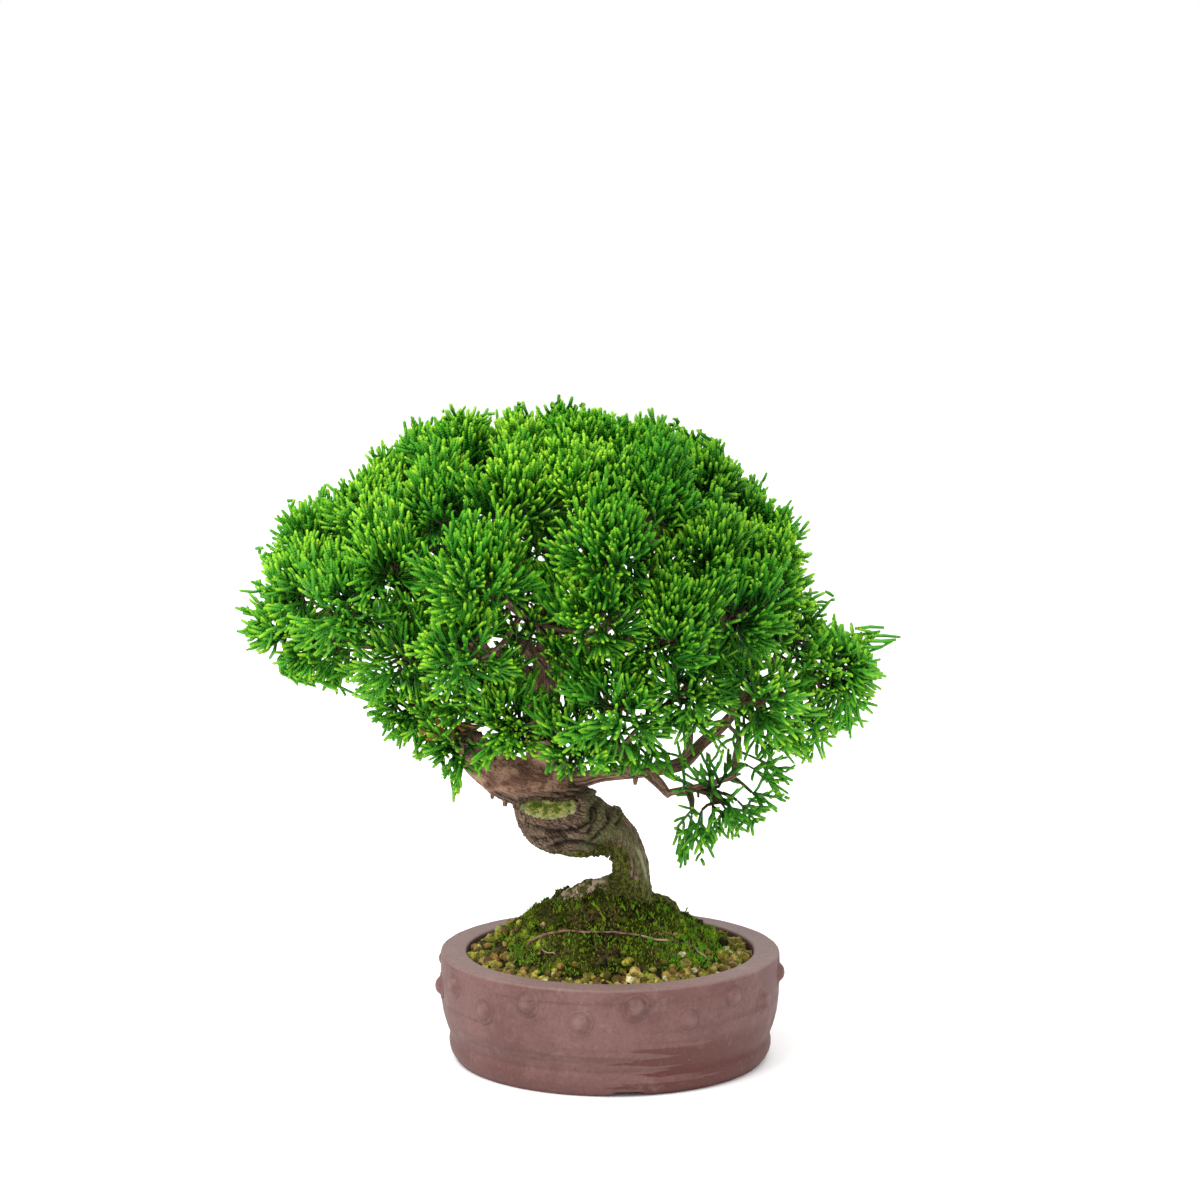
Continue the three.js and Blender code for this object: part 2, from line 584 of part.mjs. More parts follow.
// Loose strand of root that lies over the front of the moss
const STRAND_PLACES = [
  [-41, -30], [-31, -34], [-20, -37], [-8, -38.5], [4, -38.5], [16, -38], [28, -36], [43, -30],
];
function surfaceRoot() {
  const plan = new THREE.CatmullRomCurve3(STRAND_PLACES.map(([x, y]) => new THREE.Vector3(x, y, 0)));
  const caster = new THREE.Raycaster();
  const radius = 0.95;
  const count = 16;
  const route = [];
  for (let i = 0; i <= count; i += 1) {
    const place = plan.getPoint(i / count);
    caster.set(place.clone().setZ(POT_HEIGHT * 4), new THREE.Vector3(0, 0, -1));
    const [hit] = caster.intersectObject(moss);
    route.push([place.x, place.y, hit.point.z + radius + 2 * SEAT, radius]);
  }
  return solid(limb(route, 5, count));
}
add('surface_root', surfaceRoot(), ROOT, 0.9);

// True where a stretch lies in its own share of the air, half way to each other middle at most
function inOwnShare(own, others, start, end, radius) {
  return [0, 0.5, 1].every((share) => {
    const point = start.clone().lerp(end, share);
    const ownPower = point.distanceToSquared(own.middle) - own.size ** 2;
    return others.every((other) => {
      const power = point.distanceToSquared(other.middle) - other.size ** 2;
      return (power - ownPower) / (2 * other.middle.distanceTo(own.middle)) > radius + SEAT / 2;
    });
  });
}

// True where a stretch stays clear of the wood
function clearOfWood(start, end, radius, wood) {
  return wood.every((piece) => (
    stretchDistance(start, end, piece.start, piece.end) > piece.radius + radius + SEAT
  ));
}

// Bunches with the wood near each, and where their foliage forks
const bunches = BUNCHES.map((bunch, index) => {
  const middle = vector(bunch);
  const foot = bunchFoot(bunch);
  const axis = bunchAxis(bunch);
  const [before, end] = twigs[index].slice(-2).map(vector);
  const tilt = Math.sin(axis.angleTo(end.clone().sub(before)));
  const root = foot.clone().addScaledVector(axis, SEAT + 0.6 * TWIG_RADIUS * tilt);
  const wood = clearOf.filter((piece) => (
    piece.start.distanceTo(middle) < bunch[3] * 2 + 12 && piece.end.distanceTo(foot) > 0.01
  ));
  return { index, middle, axis, size: bunch[3], root, fork: root.clone().addScaledVector(axis, 3), wood };
});

// Tufts of a bunch: one along its axis and the rest in a ring round it
function tuftsOf(bunch) {
  const ring = bunch.size > LARGE_BUNCH ? 4 : 3;
  const tufts = [];
  for (let number = 0; number <= ring; number += 1) {
    const bearing = 2 * Math.PI * (number / ring + chance(bunch.index + 500));
    const out = lean(bunch.axis, RING_SPREAD, bearing).multiplyScalar(number ? RING_OUT * bunch.size : 0);
    const rise = bunch.axis.clone().multiplyScalar((number ? -RING_SINK : MIDDLE_RISE) * bunch.size);
    const foot = bunch.middle.clone().add(out).add(rise);
    const axis = number ? lean(bunch.axis, RING_LEAN, bearing) : bunch.axis;
    const middle = foot.clone().addScaledVector(axis, 0.35 * bunch.size);
    const top = foot.clone().addScaledVector(axis, CORE_LONG * bunch.size);
    const others = bunches.filter((other) => other !== bunch);
    const wide = CORE_WIDE * bunch.size;
    const open = inOwnShare(bunch, others, bunch.fork, foot, wide / 2)
      && inOwnShare(bunch, others, foot, top, wide)
      && clearOfWood(bunch.fork, foot, wide / 4, bunch.wood)
      && clearOfWood(foot, top, wide, bunch.wood);
    if (open) tufts.push({ bunch, number, foot, axis, middle, size: bunch.size, stem: !tufts.length });
  }
  bunch.fork.copy(bunch.root).lerp(tufts[0].foot, FORK_SHARE);
  return tufts;
}
const tufts = bunches.flatMap(tuftsOf);

// Tuft: a slim core that tapers back to the fork, or the first to the bunch's root, with its
// other faces each drawn out into a needle
function tuftBody(tuft) {
  const { size, foot, axis, bunch } = tuft;
  const seed = bunch.index * 128 + tuft.number * 21;
  const core = new THREE.SphereGeometry(1, CORE_SIDES, 3).toNonIndexed();
  core.rotateY(2 * Math.PI * chance(seed + 20));
  core.scale(CORE_WIDE * size, CORE_LONG * size, CORE_WIDE * size);
  core.applyQuaternion(new THREE.Quaternion().setFromUnitVectors(new THREE.Vector3(0, 1, 0), axis));
  core.translate(foot.x, foot.y, foot.z);
  const near = tufts.filter((other) => other !== tuft && other.middle.distanceTo(foot) < 4 * size);
  const back = foot.clone().addScaledVector(axis, -0.12 * size);
  const pole = foot.clone().addScaledVector(axis, -CORE_LONG * size);
  const place = core.attributes.position;
  const corners = [];
  for (let i = 0; i < place.count; i += 3) {
    const face = [0, 1, 2].map((k) => new THREE.Vector3().fromBufferAttribute(place, i + k));
    const tail = face.find((corner) => corner.distanceTo(pole) < 0.01);
    const centre = face[0].clone().add(face[1]).add(face[2]).divideScalar(3);
    const direction = centre.clone().sub(back).normalize();
    direction.x += NEEDLE_STRAY * (chance(seed + i) - 0.5);
    direction.z += NEEDLE_STRAY * (chance(seed + i + 1) - 0.5);
    direction.normalize();
    const tip = !tail && NEEDLE_REACHES.map((reach) => (
      centre.clone().addScaledVector(direction, size * reach * (0.88 + 0.24 * chance(seed + i + 2)))
    )).find((end) => (
      inOwnShare(tuft, near, centre.clone().lerp(end, 0.35), end, NEEDLE_RADIUS)
      && clearOfWood(centre, centre.clone().lerp(end, 0.5), CORE_WIDE * size / 2, bunch.wood)
      && clearOfWood(centre, end, NEEDLE_RADIUS, bunch.wood)
    ));
    if (tail) tail.copy(tuft.stem ? bunch.root : bunch.fork);
    if (tip) corners.push(face[0], face[1], tip, face[1], face[2], tip, face[2], face[0], tip);
    else corners.push(...face);
  }
  return solid(new THREE.BufferGeometry().setFromPoints(corners));
}

// Foliage of a bunch: its tufts joined at the fork, and its leader shoots
function foliageBody(bunch) {
  const own = tufts.filter((tuft) => tuft.bunch === bunch);
  let body = tuftBody(own[0]);
  for (const tuft of own.slice(1)) {
    body = body.add(tuftBody(tuft));
  }
  for (const [owner, ...tip] of LEADERS) {
    if (owner !== bunch.index) continue;
    const end = vector(tip);
    const near = own.reduce((best, tuft) => (
      tuft.foot.distanceTo(end) < best.foot.distanceTo(end) ? tuft : best
    ));
    const others = bunches.filter((other) => other !== bunch);
    const bare = near.foot.clone().lerp(end, 0.4);
    if (!inOwnShare(bunch, others, bare, end, NEEDLE_RADIUS)) continue;
    if (!clearOfWood(bare, end, NEEDLE_RADIUS, bunch.wood)) continue;
    body = body.add(solid(rod(near.foot, end, 1.3, 0.4, 3)));
  }
  return largest(body.simplify(LEAF_FINEST));
}

bunches.forEach((bunch) => {
  const name = `foliage_${String(bunch.index + 1).padStart(2, '0')}`;
  add(name, foliageBody(bunch), bunch.index % 2 ? LEAF : LEAF_DARK, 0.7);
});

// Origin on the floor below the middle of the plant's box
const box = new THREE.Box3().setFromObject(plant);
const middle = box.getCenter(new THREE.Vector3());
plant.position.set(-middle.x, -middle.y, -box.min.z);
plant.updateMatrixWorld(true);

export default plant;
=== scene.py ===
"""Itoigawa juniper bonsai in its drum pot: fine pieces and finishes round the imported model, in metres."""
import math

import bpy
import numpy as np
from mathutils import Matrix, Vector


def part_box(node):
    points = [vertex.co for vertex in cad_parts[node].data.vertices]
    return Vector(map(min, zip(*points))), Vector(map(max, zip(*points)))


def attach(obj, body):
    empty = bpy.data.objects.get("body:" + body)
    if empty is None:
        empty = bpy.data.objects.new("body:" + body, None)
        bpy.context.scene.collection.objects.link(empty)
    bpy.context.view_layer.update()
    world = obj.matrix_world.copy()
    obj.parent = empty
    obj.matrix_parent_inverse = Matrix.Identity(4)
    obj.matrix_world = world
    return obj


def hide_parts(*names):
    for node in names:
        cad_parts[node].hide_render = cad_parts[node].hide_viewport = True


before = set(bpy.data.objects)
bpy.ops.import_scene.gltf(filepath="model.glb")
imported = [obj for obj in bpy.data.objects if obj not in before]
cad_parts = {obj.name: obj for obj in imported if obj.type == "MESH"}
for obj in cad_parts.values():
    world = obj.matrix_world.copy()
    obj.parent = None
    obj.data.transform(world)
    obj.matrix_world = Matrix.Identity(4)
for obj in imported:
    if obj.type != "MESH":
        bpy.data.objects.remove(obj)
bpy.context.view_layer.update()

# Pot: one turned drum of unglazed purple-brown clay, fired in one piece. It has a wide flat rim,
# twenty applied studs in two staggered rows, a waist groove over a low ring, and a foot ring
# with four flat arches. Lengths below are in millimetres, and MM turns them into metres.
MM = 0.001
pot_low, pot_high = (np.array(corner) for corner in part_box("pot"))
AXIS = np.array([*(pot_low + pot_high)[:2] / 2, 0.0])
POT_HEIGHT = 53.8
RIM_RADIUS = 85
MOUTH_RADIUS = 72
FOOT_RADIUS = 77.8
FOOT_INNER_RADIUS = 64
FOOT_RECESS = 3.5
POT_FLOOR = 10
STUD_COUNT = 20
STUD_RADIUS = 5
STUD_STAND = 3.1
STUD_HEIGHTS = (45, 37.5)
STUD_FIRST_ANGLE = -82
NOTCH_WIDTH = 18
NOTCH_HEIGHT = 2.6
NOTCH_ANGLES = (-84, 6, 96, 186)
DRAIN_PLACES = (-28, 28)
DRAIN_RADIUS = 7


def grid_quads(rows, columns, closed=True):
    """Quads of a grid numbered row by row, facing out where rows go along and columns go round."""
    row = np.arange(rows - 1)[:, None] * columns
    column = np.arange(columns if closed else columns - 1)[None, :]
    after = (column + 1) % columns
    quads = np.stack([row + column, row + after, row + columns + after, row + columns + column], -1)
    return quads.reshape(-1, 4)


def capped(rings, start, end):
    """Points and polygons of rings (rows, columns, 3) closed at both ends by a fan to a pole point."""
    rows, columns = rings.shape[:2]
    points = np.concatenate([rings.reshape(-1, 3), [start, end]])
    column = np.arange(columns)
    after = (column + 1) % columns
    first_pole = np.full(columns, rows * columns)
    last = (rows - 1) * columns
    fans = np.concatenate([
        np.stack([first_pole, after, column], 1),
        np.stack([last + column, last + after, first_pole + 1], 1),
    ])
    return points, [grid_quads(rows, columns), fans]


def joined(parts):
    """Several (points, polygon blocks) as one: points stacked, corner numbers moved past those before."""
    points, blocks, count = [], [], 0
    for part_points, part_blocks in parts:
        points.append(part_points)
        blocks.extend(block + count for block in part_blocks)
        count += len(part_points)
    return np.concatenate(points), blocks


def make_mesh(name, points, blocks, attributes=None):
    """A smooth mesh from points in metres, blocks of polygons, and named values or vectors of the points."""
    mesh = bpy.data.meshes.new(name)
    mesh.vertices.add(len(points))
    mesh.vertices.foreach_set("co", np.ascontiguousarray(points, np.float32).ravel())
    corners = np.concatenate([block.ravel() for block in blocks]).astype(np.int32)
    sizes = np.concatenate([np.full(len(block), block.shape[1]) for block in blocks])
    mesh.loops.add(len(corners))
    mesh.loops.foreach_set("vertex_index", corners)
    mesh.polygons.add(len(sizes))
    mesh.polygons.foreach_set("loop_start", (np.cumsum(sizes) - sizes).astype(np.int32))
    mesh.polygons.foreach_set("use_smooth", np.ones(len(sizes), bool))
    mesh.update(calc_edges=True)
    for key, values in (attributes or {}).items():
        vector = np.ndim(values) == 2
        layer = mesh.attributes.new(key, "FLOAT_VECTOR" if vector else "FLOAT", "POINT")
        flat = np.ascontiguousarray(values, np.float32).ravel()
        layer.data.foreach_set("vector" if vector else "value", flat)
    return mesh


def add_piece(name, mesh, material, slot, *nodes):
    """Puts a finished mesh into the scene as a piece on the root body that stands for CAD nodes."""
    piece = bpy.data.objects.new(name, mesh)
    bpy.context.scene.collection.objects.link(piece)
    mesh.materials.append(material)
    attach(piece, "root")
    if nodes:
        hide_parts(*nodes)


def lattice(points, seed):
    """Smooth noise from -1 to 1: corner values of a unit lattice, hashed, blended by smoothed distance."""
    cell = np.floor(points).astype(np.int64)
    share = points - cell
    share = share * share * (3 - 2 * share)
    total = np.zeros(len(points))
    for corner in range(8):
        step = np.array([corner & 1, corner >> 1 & 1, corner >> 2])
        x, y, z = ((cell + step) & 0xFFFF).T
        mixed = (x * 374761393 + y * 668265263 + z * 2147483647 + seed * 974634777) & 0x7FFFFFFF
        mixed = ((mixed ^ (mixed >> 13)) * 1274126177) & 0x7FFFFFFF
        value = (mixed ^ (mixed >> 16)) & 0xFFFF
        weight = np.prod(np.where(step, share, 1 - share), axis=1)
        total += weight * (value / 32767.5 - 1)
    return total


def layered(points, seed, layers=3):
    """Noise with finer layers: each at twice the fineness and half the strength of the last."""
    return sum(lattice(points * 2 ** layer, seed + layer) / 2 ** layer for layer in range(layers))


class Value:
    """A shader socket on which arithmetic adds Math nodes, with numbers on either side."""

    def __init__(self, finish, socket):
        self.finish = finish
        self.socket = socket

    def math(self, operation, first, second):
        """One Math node on two sockets or numbers."""
        return self.finish.node("Math", {"operation": operation}, {0: first, 1: second})

    def __add__(self, other):
        return self.math("ADD", self, other)

    def __radd__(self, other):
        return self.math("ADD", other, self)

    def __sub__(self, other):
        return self.math("SUBTRACT", self, other)

    def __rsub__(self, other):
        return self.math("SUBTRACT", other, self)

    def __mul__(self, other):
        return self.math("MULTIPLY", self, other)

    def __rmul__(self, other):
        return self.math("MULTIPLY", other, self)


class Finish:
    """A material under way: its node method adds any shader node, and surface() closes it."""

    def __init__(self, name):
        self.material = bpy.data.materials.new(name)
        self.material.use_nodes = True
        self.tree = self.material.node_tree
        self.shader = self.tree.nodes["Principled BSDF"]

    def node(self, kind, settings=None, inputs=None, output=0):
        """Adds a node: settings first (a ramp's stops as position and colour), then values or links."""
        made = self.tree.nodes.new("ShaderNode" + kind)
        for key, value in (settings or {}).items():
            if key == "stops":
                ramp = made.color_ramp.elements
                while len(ramp) < len(value):
                    ramp.new(0.5)
                for element, (place, colour) in zip(ramp, value):
                    element.position = place
                    element.color = (*colour, 1)
            else:
                setattr(made, key, value)
        for key, value in (inputs or {}).items():
            self.join(value, made.inputs[key])
        return Value(self, made.outputs[output])

    def join(self, value, socket):
        """Links a value to a socket, or sets the socket to a number, vector or colour."""
        if isinstance(value, Value):
            self.tree.links.new(value.socket, socket)
        elif isinstance(value, tuple) and len(value) == 3 and socket.type == "RGBA":
            socket.default_value = (*value, 1)
        else:
            socket.default_value = value

    def place(self):
        """Object coordinates, in metres."""
        return self.node("TexCoord", output="Object")

    def stored(self, name, vector=False):
        """A value or vector stored on the mesh's points."""
        return self.node("Attribute", {"attribute_name": name}, output="Vector" if vector else "Fac")

    def noise(self, where, scale, detail=3.0, roughness=0.55):
        """Soft noise from 0 to 1 with so many cycles a unit of the coordinates."""
        inputs = {"Vector": where, "Scale": scale, "Detail": detail, "Roughness": roughness}
        return self.node("TexNoise", None, inputs)

    def stretched(self, where, factors):
        """Coordinates multiplied by a factor for each direction."""
        return self.node("VectorMath", {"operation": "MULTIPLY"}, {0: where, 1: factors})

    def step(self, value, low, high):
        """0 below low, 1 above high, smooth between."""
        settings = {"interpolation_type": "SMOOTHSTEP"}
        return self.node("MapRange", settings, {"Value": value, "From Min": low, "From Max": high})

    def blend(self, factor, first, second):
        """The first colour, and the second over it by a factor."""
        return self.node("Mix", {"data_type": "RGBA"}, {0: factor, 6: first, 7: second}, 2)

    def bump(self, height, distance, strength):
        """A normal tilted as if the surface rose by the height times a distance in metres."""
        return self.node("Bump", None, {"Height": height, "Distance": distance, "Strength": strength})

    def surface(self, **sockets):
        """Sets the closing shader's sockets: names with spaces are written with underscores."""
        for key, value in sockets.items():
            self.join(value, self.shader.inputs[key.replace("_", " ")])
        return self.material


def arc(middle, radius, start, end, count):
    """Points of a round stretch of an outline: [r, z] on a circle between two angles in degrees."""
    angles = np.radians(np.linspace(start, end, count))
    return [[middle[0] + radius * math.cos(a), middle[1] + radius * math.sin(a)] for a in angles]


def pot_profile():
    """Half section of the drum from the middle of its underside, out, up, over the rim and down inside."""
    lip = 1.6
    outline = [
        [8, FOOT_RECESS], [FOOT_INNER_RADIUS - 4, FOOT_RECESS], [FOOT_INNER_RADIUS - 1.2, FOOT_RECESS - 0.4],
        [FOOT_INNER_RADIUS, FOOT_RECESS - 1.6], [FOOT_INNER_RADIUS + 0.3, 0.4], [FOOT_INNER_RADIUS + 1.2, 0],
        [FOOT_INNER_RADIUS + 6, 0], [FOOT_RADIUS - 1.6, 0],
        *arc([FOOT_RADIUS - 1.2, 1.4], 1.4, -80, -10, 4),
        [79.2, 2.6], [80.3, 4.6], [80.9, 6.8], [81, 8.8], [80.8, 10.2], [80.4, 11.3], [80.2, 12.1],
        [80.4, 13.1], [81.2, 15], [82.2, 17.6], [83.1, 20.6], [83.9, 24], [84.4, 28], [84.7, 32], [84.9, 36],
        [85, 40], [85, 44], [85, 48], [85, POT_HEIGHT - lip],
        *arc([RIM_RADIUS - lip, POT_HEIGHT - lip], lip, 12, 78, 5),
        [RIM_RADIUS - lip - 0.8, POT_HEIGHT], [80, POT_HEIGHT - 0.1], [77, POT_HEIGHT - 0.1],
        [MOUTH_RADIUS + 1.8, POT_HEIGHT],
        *arc([MOUTH_RADIUS + 1.2, POT_HEIGHT - 1.2], 1.2, 90, 180, 5),
        [MOUTH_RADIUS, 44], [MOUTH_RADIUS, 30], [MOUTH_RADIUS, POT_FLOOR + 3], [MOUTH_RADIUS - 3, POT_FLOOR],
        [40, POT_FLOOR], [8, POT_FLOOR],
    ]
    return np.array(outline)


def turned(profile, turns):
    """A lathe surface: each [r, z] of the profile carried round the axis, and its columns' angles."""
    angle = np.linspace(0, 2 * math.pi, turns, endpoint=False)
    r, z = profile[:, 0, None], profile[:, 1, None]
    rings = np.stack([r * np.cos(angle), r * np.sin(angle), z + 0 * angle], -1)
    return rings, angle


def pot_body():
    """The drum with hand-turned unevenness, and its foot lifted over each arch: z is at least the arch's
    height, which is a half ellipse of the notch's width."""
    profile = pot_profile()
    rings, angle = turned(profile, 288)
    for degrees in NOTCH_ANGLES:
        away = (angle - math.radians(degrees) + math.pi) % (2 * math.pi) - math.pi
        side = np.clip(np.abs(away) * FOOT_RADIUS / (NOTCH_WIDTH / 2), 0, 1)
        arch = NOTCH_HEIGHT * np.sqrt(1 - side ** 2)
        low = rings[..., 2] < NOTCH_HEIGHT
        rings[..., 2] = np.where(low, np.maximum(rings[..., 2], arch), rings[..., 2])
    flat = rings.reshape(-1, 3)
    reach = np.hypot(flat[:, 0], flat[:, 1])
    out = flat / reach[:, None] * [1, 1, 0]
    wall = (reach > MOUTH_RADIUS + 2) & (flat[:, 2] > 1)
    uneven = 0.22 * layered(flat / 16, 11) + 0.1 * lattice(flat * [0.02, 0.02, 0.6], 14)
    flat += out * (uneven * wall)[:, None]
    top = (flat[:, 2] > POT_HEIGHT - 0.8) * 0.18 * layered(flat / 22, 12)
    flat[:, 2] += top
    return capped(rings, [0, 0, FOOT_RECESS], [0, 0, POT_FLOOR])


def stud(index):
    """Applied clay stud: rings round its middle, whose shares of its radius and stands off the wall draw a
    dome with a pressed groove and a flared rim."""
    angle = math.radians(STUD_FIRST_ANGLE + index * 360 / STUD_COUNT)
    height = STUD_HEIGHTS[index % 2]
    share = np.array([1.42, 1.34, 1.2, 1.08, 0.97, 0.84, 0.7, 0.54, 0.36, 0.18])
    stand = np.array([-0.5, 0.22, 0.34, 0.24, 0.42, 0.85, 1.35, 1.8, 2.08, 2.2]) * STUD_STAND / 2.2
    around = np.linspace(0, 2 * math.pi, 28, endpoint=False)
    uneven = 1 + 0.05 * np.sin(2 * around + index) + 0.03 * np.sin(3 * around + 2.3 * index)
    across = STUD_RADIUS * share[:, None] * np.cos(around) * uneven
    up = STUD_RADIUS * share[:, None] * np.sin(around) * uneven
    out = stand[:, None] + np.sqrt(RIM_RADIUS ** 2 - across ** 2) - 0.1
    dome = np.stack([out, across, up + height], -1)
    points, blocks = capped(dome, [RIM_RADIUS - 2.2, 0, height], [RIM_RADIUS + STUD_STAND, 0, height])
    cosine, sine = math.cos(angle), math.sin(angle)
    turn = np.array([[cosine, -sine, 0], [sine, cosine, 0], [0, 0, 1]])
    return points @ turn.T, blocks


def cut_by(piece_mesh, cutters):
    """A mesh with cutter solids taken away."""
    body = bpy.data.objects.new("body", piece_mesh)
    bpy.context.scene.collection.objects.link(body)
    tools = []
    for mesh in cutters:
        tool = bpy.data.objects.new("tool", mesh)
        bpy.context.scene.collection.objects.link(tool)
        modifier = body.modifiers.new("cut", "BOOLEAN")
        modifier.operation = "DIFFERENCE"
        modifier.solver = "EXACT"
        modifier.object = tool
        tools.append(tool)
    evaluated = body.evaluated_get(bpy.context.evaluated_depsgraph_get())
    result = bpy.data.meshes.new_from_object(evaluated)
    for thing in [body, *tools]:
        bpy.data.objects.remove(thing)
    return result


def drain_bore(x):
    """A round bore through the pot's floor."""
    rings, _ = turned(np.array([[DRAIN_RADIUS, 1.0], [DRAIN_RADIUS, POT_FLOOR + 2]]), 36)
    points, blocks = capped(rings, [0, 0, 1.0], [0, 0, POT_FLOOR + 2])
    return make_mesh("bore", (points + [x, 0, 0]) * MM + AXIS, blocks)


CLAY_RED = (0.118, 0.044, 0.038)
CLAY_GREY = (0.165, 0.078, 0.07)
CLAY_DARK = (0.062, 0.024, 0.02)
CLAY_DAMP = (0.088, 0.016, 0.01)
CLAY_CHALK = (0.34, 0.24, 0.22)
CLAY_WHITE = (0.55, 0.5, 0.45)
clay = Finish("unglazed_clay")
where = clay.place()
cloud = clay.noise(where, 28.0, 5.0, 0.65)
speck = clay.noise(where, 900.0, 2.0)
throwing = clay.noise(clay.stretched(where, (6.0, 6.0, 260.0)), 1.0, 4.0)
base = clay.blend(clay.step(cloud, 0.36, 0.64), CLAY_RED, CLAY_GREY)
base = clay.blend(clay.step(throwing, 0.5, 0.7) * 0.45, base, CLAY_DARK)
side, back, up = (clay.node("SeparateXYZ", None, {0: where}, output=axis) for axis in ("X", "Y", "Z"))
# A damp patch with a ragged edge, low on the right, and a damp foot
brushed = clay.noise(clay.stretched(where, (14.0, 14.0, 190.0)), 1.0, 3.0)
ragged = side + brushed * 0.17 - (AXIS[0] + 0.08)
damp = clay.step(ragged, 0.028, 0.036) * clay.step(up, 0.03, 0.022)
base = clay.blend(damp * 0.9 + clay.step(up, 0.018, 0.002) * 0.3, base, CLAY_DAMP)
# A chalky bloom in patches and on the rim, and grit that shows dark, pale and white
chalk = clay.step(clay.noise(where, 75.0, 6.0, 0.7), 0.54, 0.74)
dusty = clay.step(up, 0.0522, 0.0537) * 0.35
base = clay.blend(chalk * 0.22 + dusty, base, CLAY_CHALK)
grit = clay.noise(where, 480.0, 3.0, 0.7)
base = clay.blend(clay.step(grit, 0.5, 0.7) * 0.35, base, CLAY_DARK)
base = clay.blend(clay.step(grit, 0.46, 0.3) * 0.1, base, CLAY_CHALK)
white = clay.step(clay.noise(where, 900.0, 1.0), 0.8, 0.84)
base = clay.blend(white * 0.6, base, CLAY_WHITE)
# Painted shadow in a ring round each stud, and a lighter middle on each, by the distance to the nearest stud
bearing = clay.node("Math", {"operation": "ARCTAN2"}, {0: back - AXIS[1], 1: side - AXIS[0]})
turn = (bearing - math.radians(STUD_FIRST_ANGLE)) * (STUD_COUNT / (2 * math.pi))
away = clay.node("Math", {"operation": "PINGPONG"}, {0: turn, 1: 1.0})
stud_gap = 2 * math.pi * RIM_RADIUS / STUD_COUNT
to_studs = []
for steps, stud_height in ((away, STUD_HEIGHTS[0]), (1.0 - away, STUD_HEIGHTS[1])):
    along, above = steps * stud_gap, up * (1 / MM) - stud_height
    to_studs.append(clay.node("Math", {"operation": "SQRT"}, {0: along * along + above * above}))
to_stud = clay.node("Math", {"operation": "MINIMUM"}, {0: to_studs[0], 1: to_studs[1]})
ring_inside = clay.step(to_stud, STUD_RADIUS - 1.3, STUD_RADIUS - 0.1)
ring_band = ring_inside * clay.step(to_stud, STUD_RADIUS + 1.2, STUD_RADIUS)
level = {0: clay.stretched(where, (1.0, 1.0, 0.0)), 1: (AXIS[0], AXIS[1], 0)}
from_axis = clay.node("VectorMath", {"operation": "DISTANCE"}, level, "Value")
outside = clay.step(from_axis, 0.078, 0.08)
stud_ring_shade = ring_band * outside
stud_ring_shade = stud_ring_shade * clay.step(clay.noise(where, 60.0, 2.0), 0.3, 0.62) * 0.42
base = clay.blend(stud_ring_shade, base, CLAY_DARK)
base = clay.blend(clay.step(to_stud, STUD_RADIUS * 0.7, 0.5) * outside * 0.12, base, CLAY_CHALK)
height = throwing * 0.6 + clay.noise(where, 420.0, 3.0) * 0.35 + speck * 0.12
clay_material = clay.surface(
    Base_Color=base, Roughness=clay.step(cloud, 0.2, 0.8) * 0.2 + 0.55 - damp * 0.12,
    Specular_IOR_Level=0.45, Normal=clay.bump(height, 0.0007, 0.65),
)
drum_points, drum_blocks = joined([pot_body(), *(stud(index) for index in range(STUD_COUNT))])
drum = make_mesh("pot_clay", drum_points * MM + AXIS, drum_blocks)
drum = cut_by(drum, [drain_bore(x) for x in DRAIN_PLACES])
drum.materials.clear()
add_piece("pot_clay", drum, clay_material, "clay", "pot")

# Drainage: a square of dark plastic mesh over each hole inside the pot, and a staple of soft
# copper-coloured wire through both. Their shapes are plain, so the solids stay and get a finish.
MESH_BLACK = (0.012, 0.013, 0.014)
MESH_GREY = (0.035, 0.036, 0.038)
WIRE_DULL = (0.32, 0.16, 0.09)
WIRE_BRIGHT = (0.5, 0.27, 0.16)
mesh_plastic = Finish("mesh_plastic")
weave = mesh_plastic.noise(mesh_plastic.place(), 600.0)
mesh_plastic.surface(
    Base_Color=mesh_plastic.blend(weave, MESH_BLACK, MESH_GREY),
    Roughness=mesh_plastic.step(weave, 0.2, 0.8) * 0.2 + 0.45, Normal=mesh_plastic.bump(weave, 0.0002, 0.4),
)
soft_wire = Finish("soft_wire")
dull = soft_wire.noise(soft_wire.place(), 350.0)
soft_wire.surface(
    Base_Color=soft_wire.blend(dull, WIRE_DULL, WIRE_BRIGHT), Metallic=0.9,
    Roughness=soft_wire.step(dull, 0.2, 0.8) * 0.25 + 0.3, Normal=soft_wire.bump(dull, 0.0001, 0.3),
)
for number in (1, 2):
    for node, material in ((f"drain_screen_{number}", mesh_plastic), (f"drain_clip_{number}", soft_wire)):
        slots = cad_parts[node].data.materials
        slots.clear()
        slots.append(material.material)

# Soil: baked-clay granules, four to five millimetres across, tan to ochre and grey-green where
# algae grow on them. They fill the pot up to the moss and lie loose on its edge.
SOIL_RIM_HEIGHT = 46.5
MOUND_HEIGHT = 33
GRAIN_COUNT = 720
STRAY_GRAINS = 26
MOUND_OFFSET = 7
MOSS_EDGE = 58
MOSS_THICK = 3.4
CROWN_HALF = (22, 14)
CROWN_BOTTOM = 36


def ground_height(x, y):
    """Height of the soil over the floor: a round mound that falls to the rim, with slow bumps."""
    offset = MOUND_OFFSET * (1 - np.minimum(np.hypot(x, y) / MOUTH_RADIUS, 1))
    reach = np.minimum(np.hypot(x + offset, y) / MOUTH_RADIUS, 1)
    bumps = 1.1 * np.sin(x / 7 + 0.6) * np.cos(y / 6 - 0.4) * (1 - reach)
    return SOIL_RIM_HEIGHT + MOUND_HEIGHT * (1 - reach ** 1.75) ** 1.15 + bumps


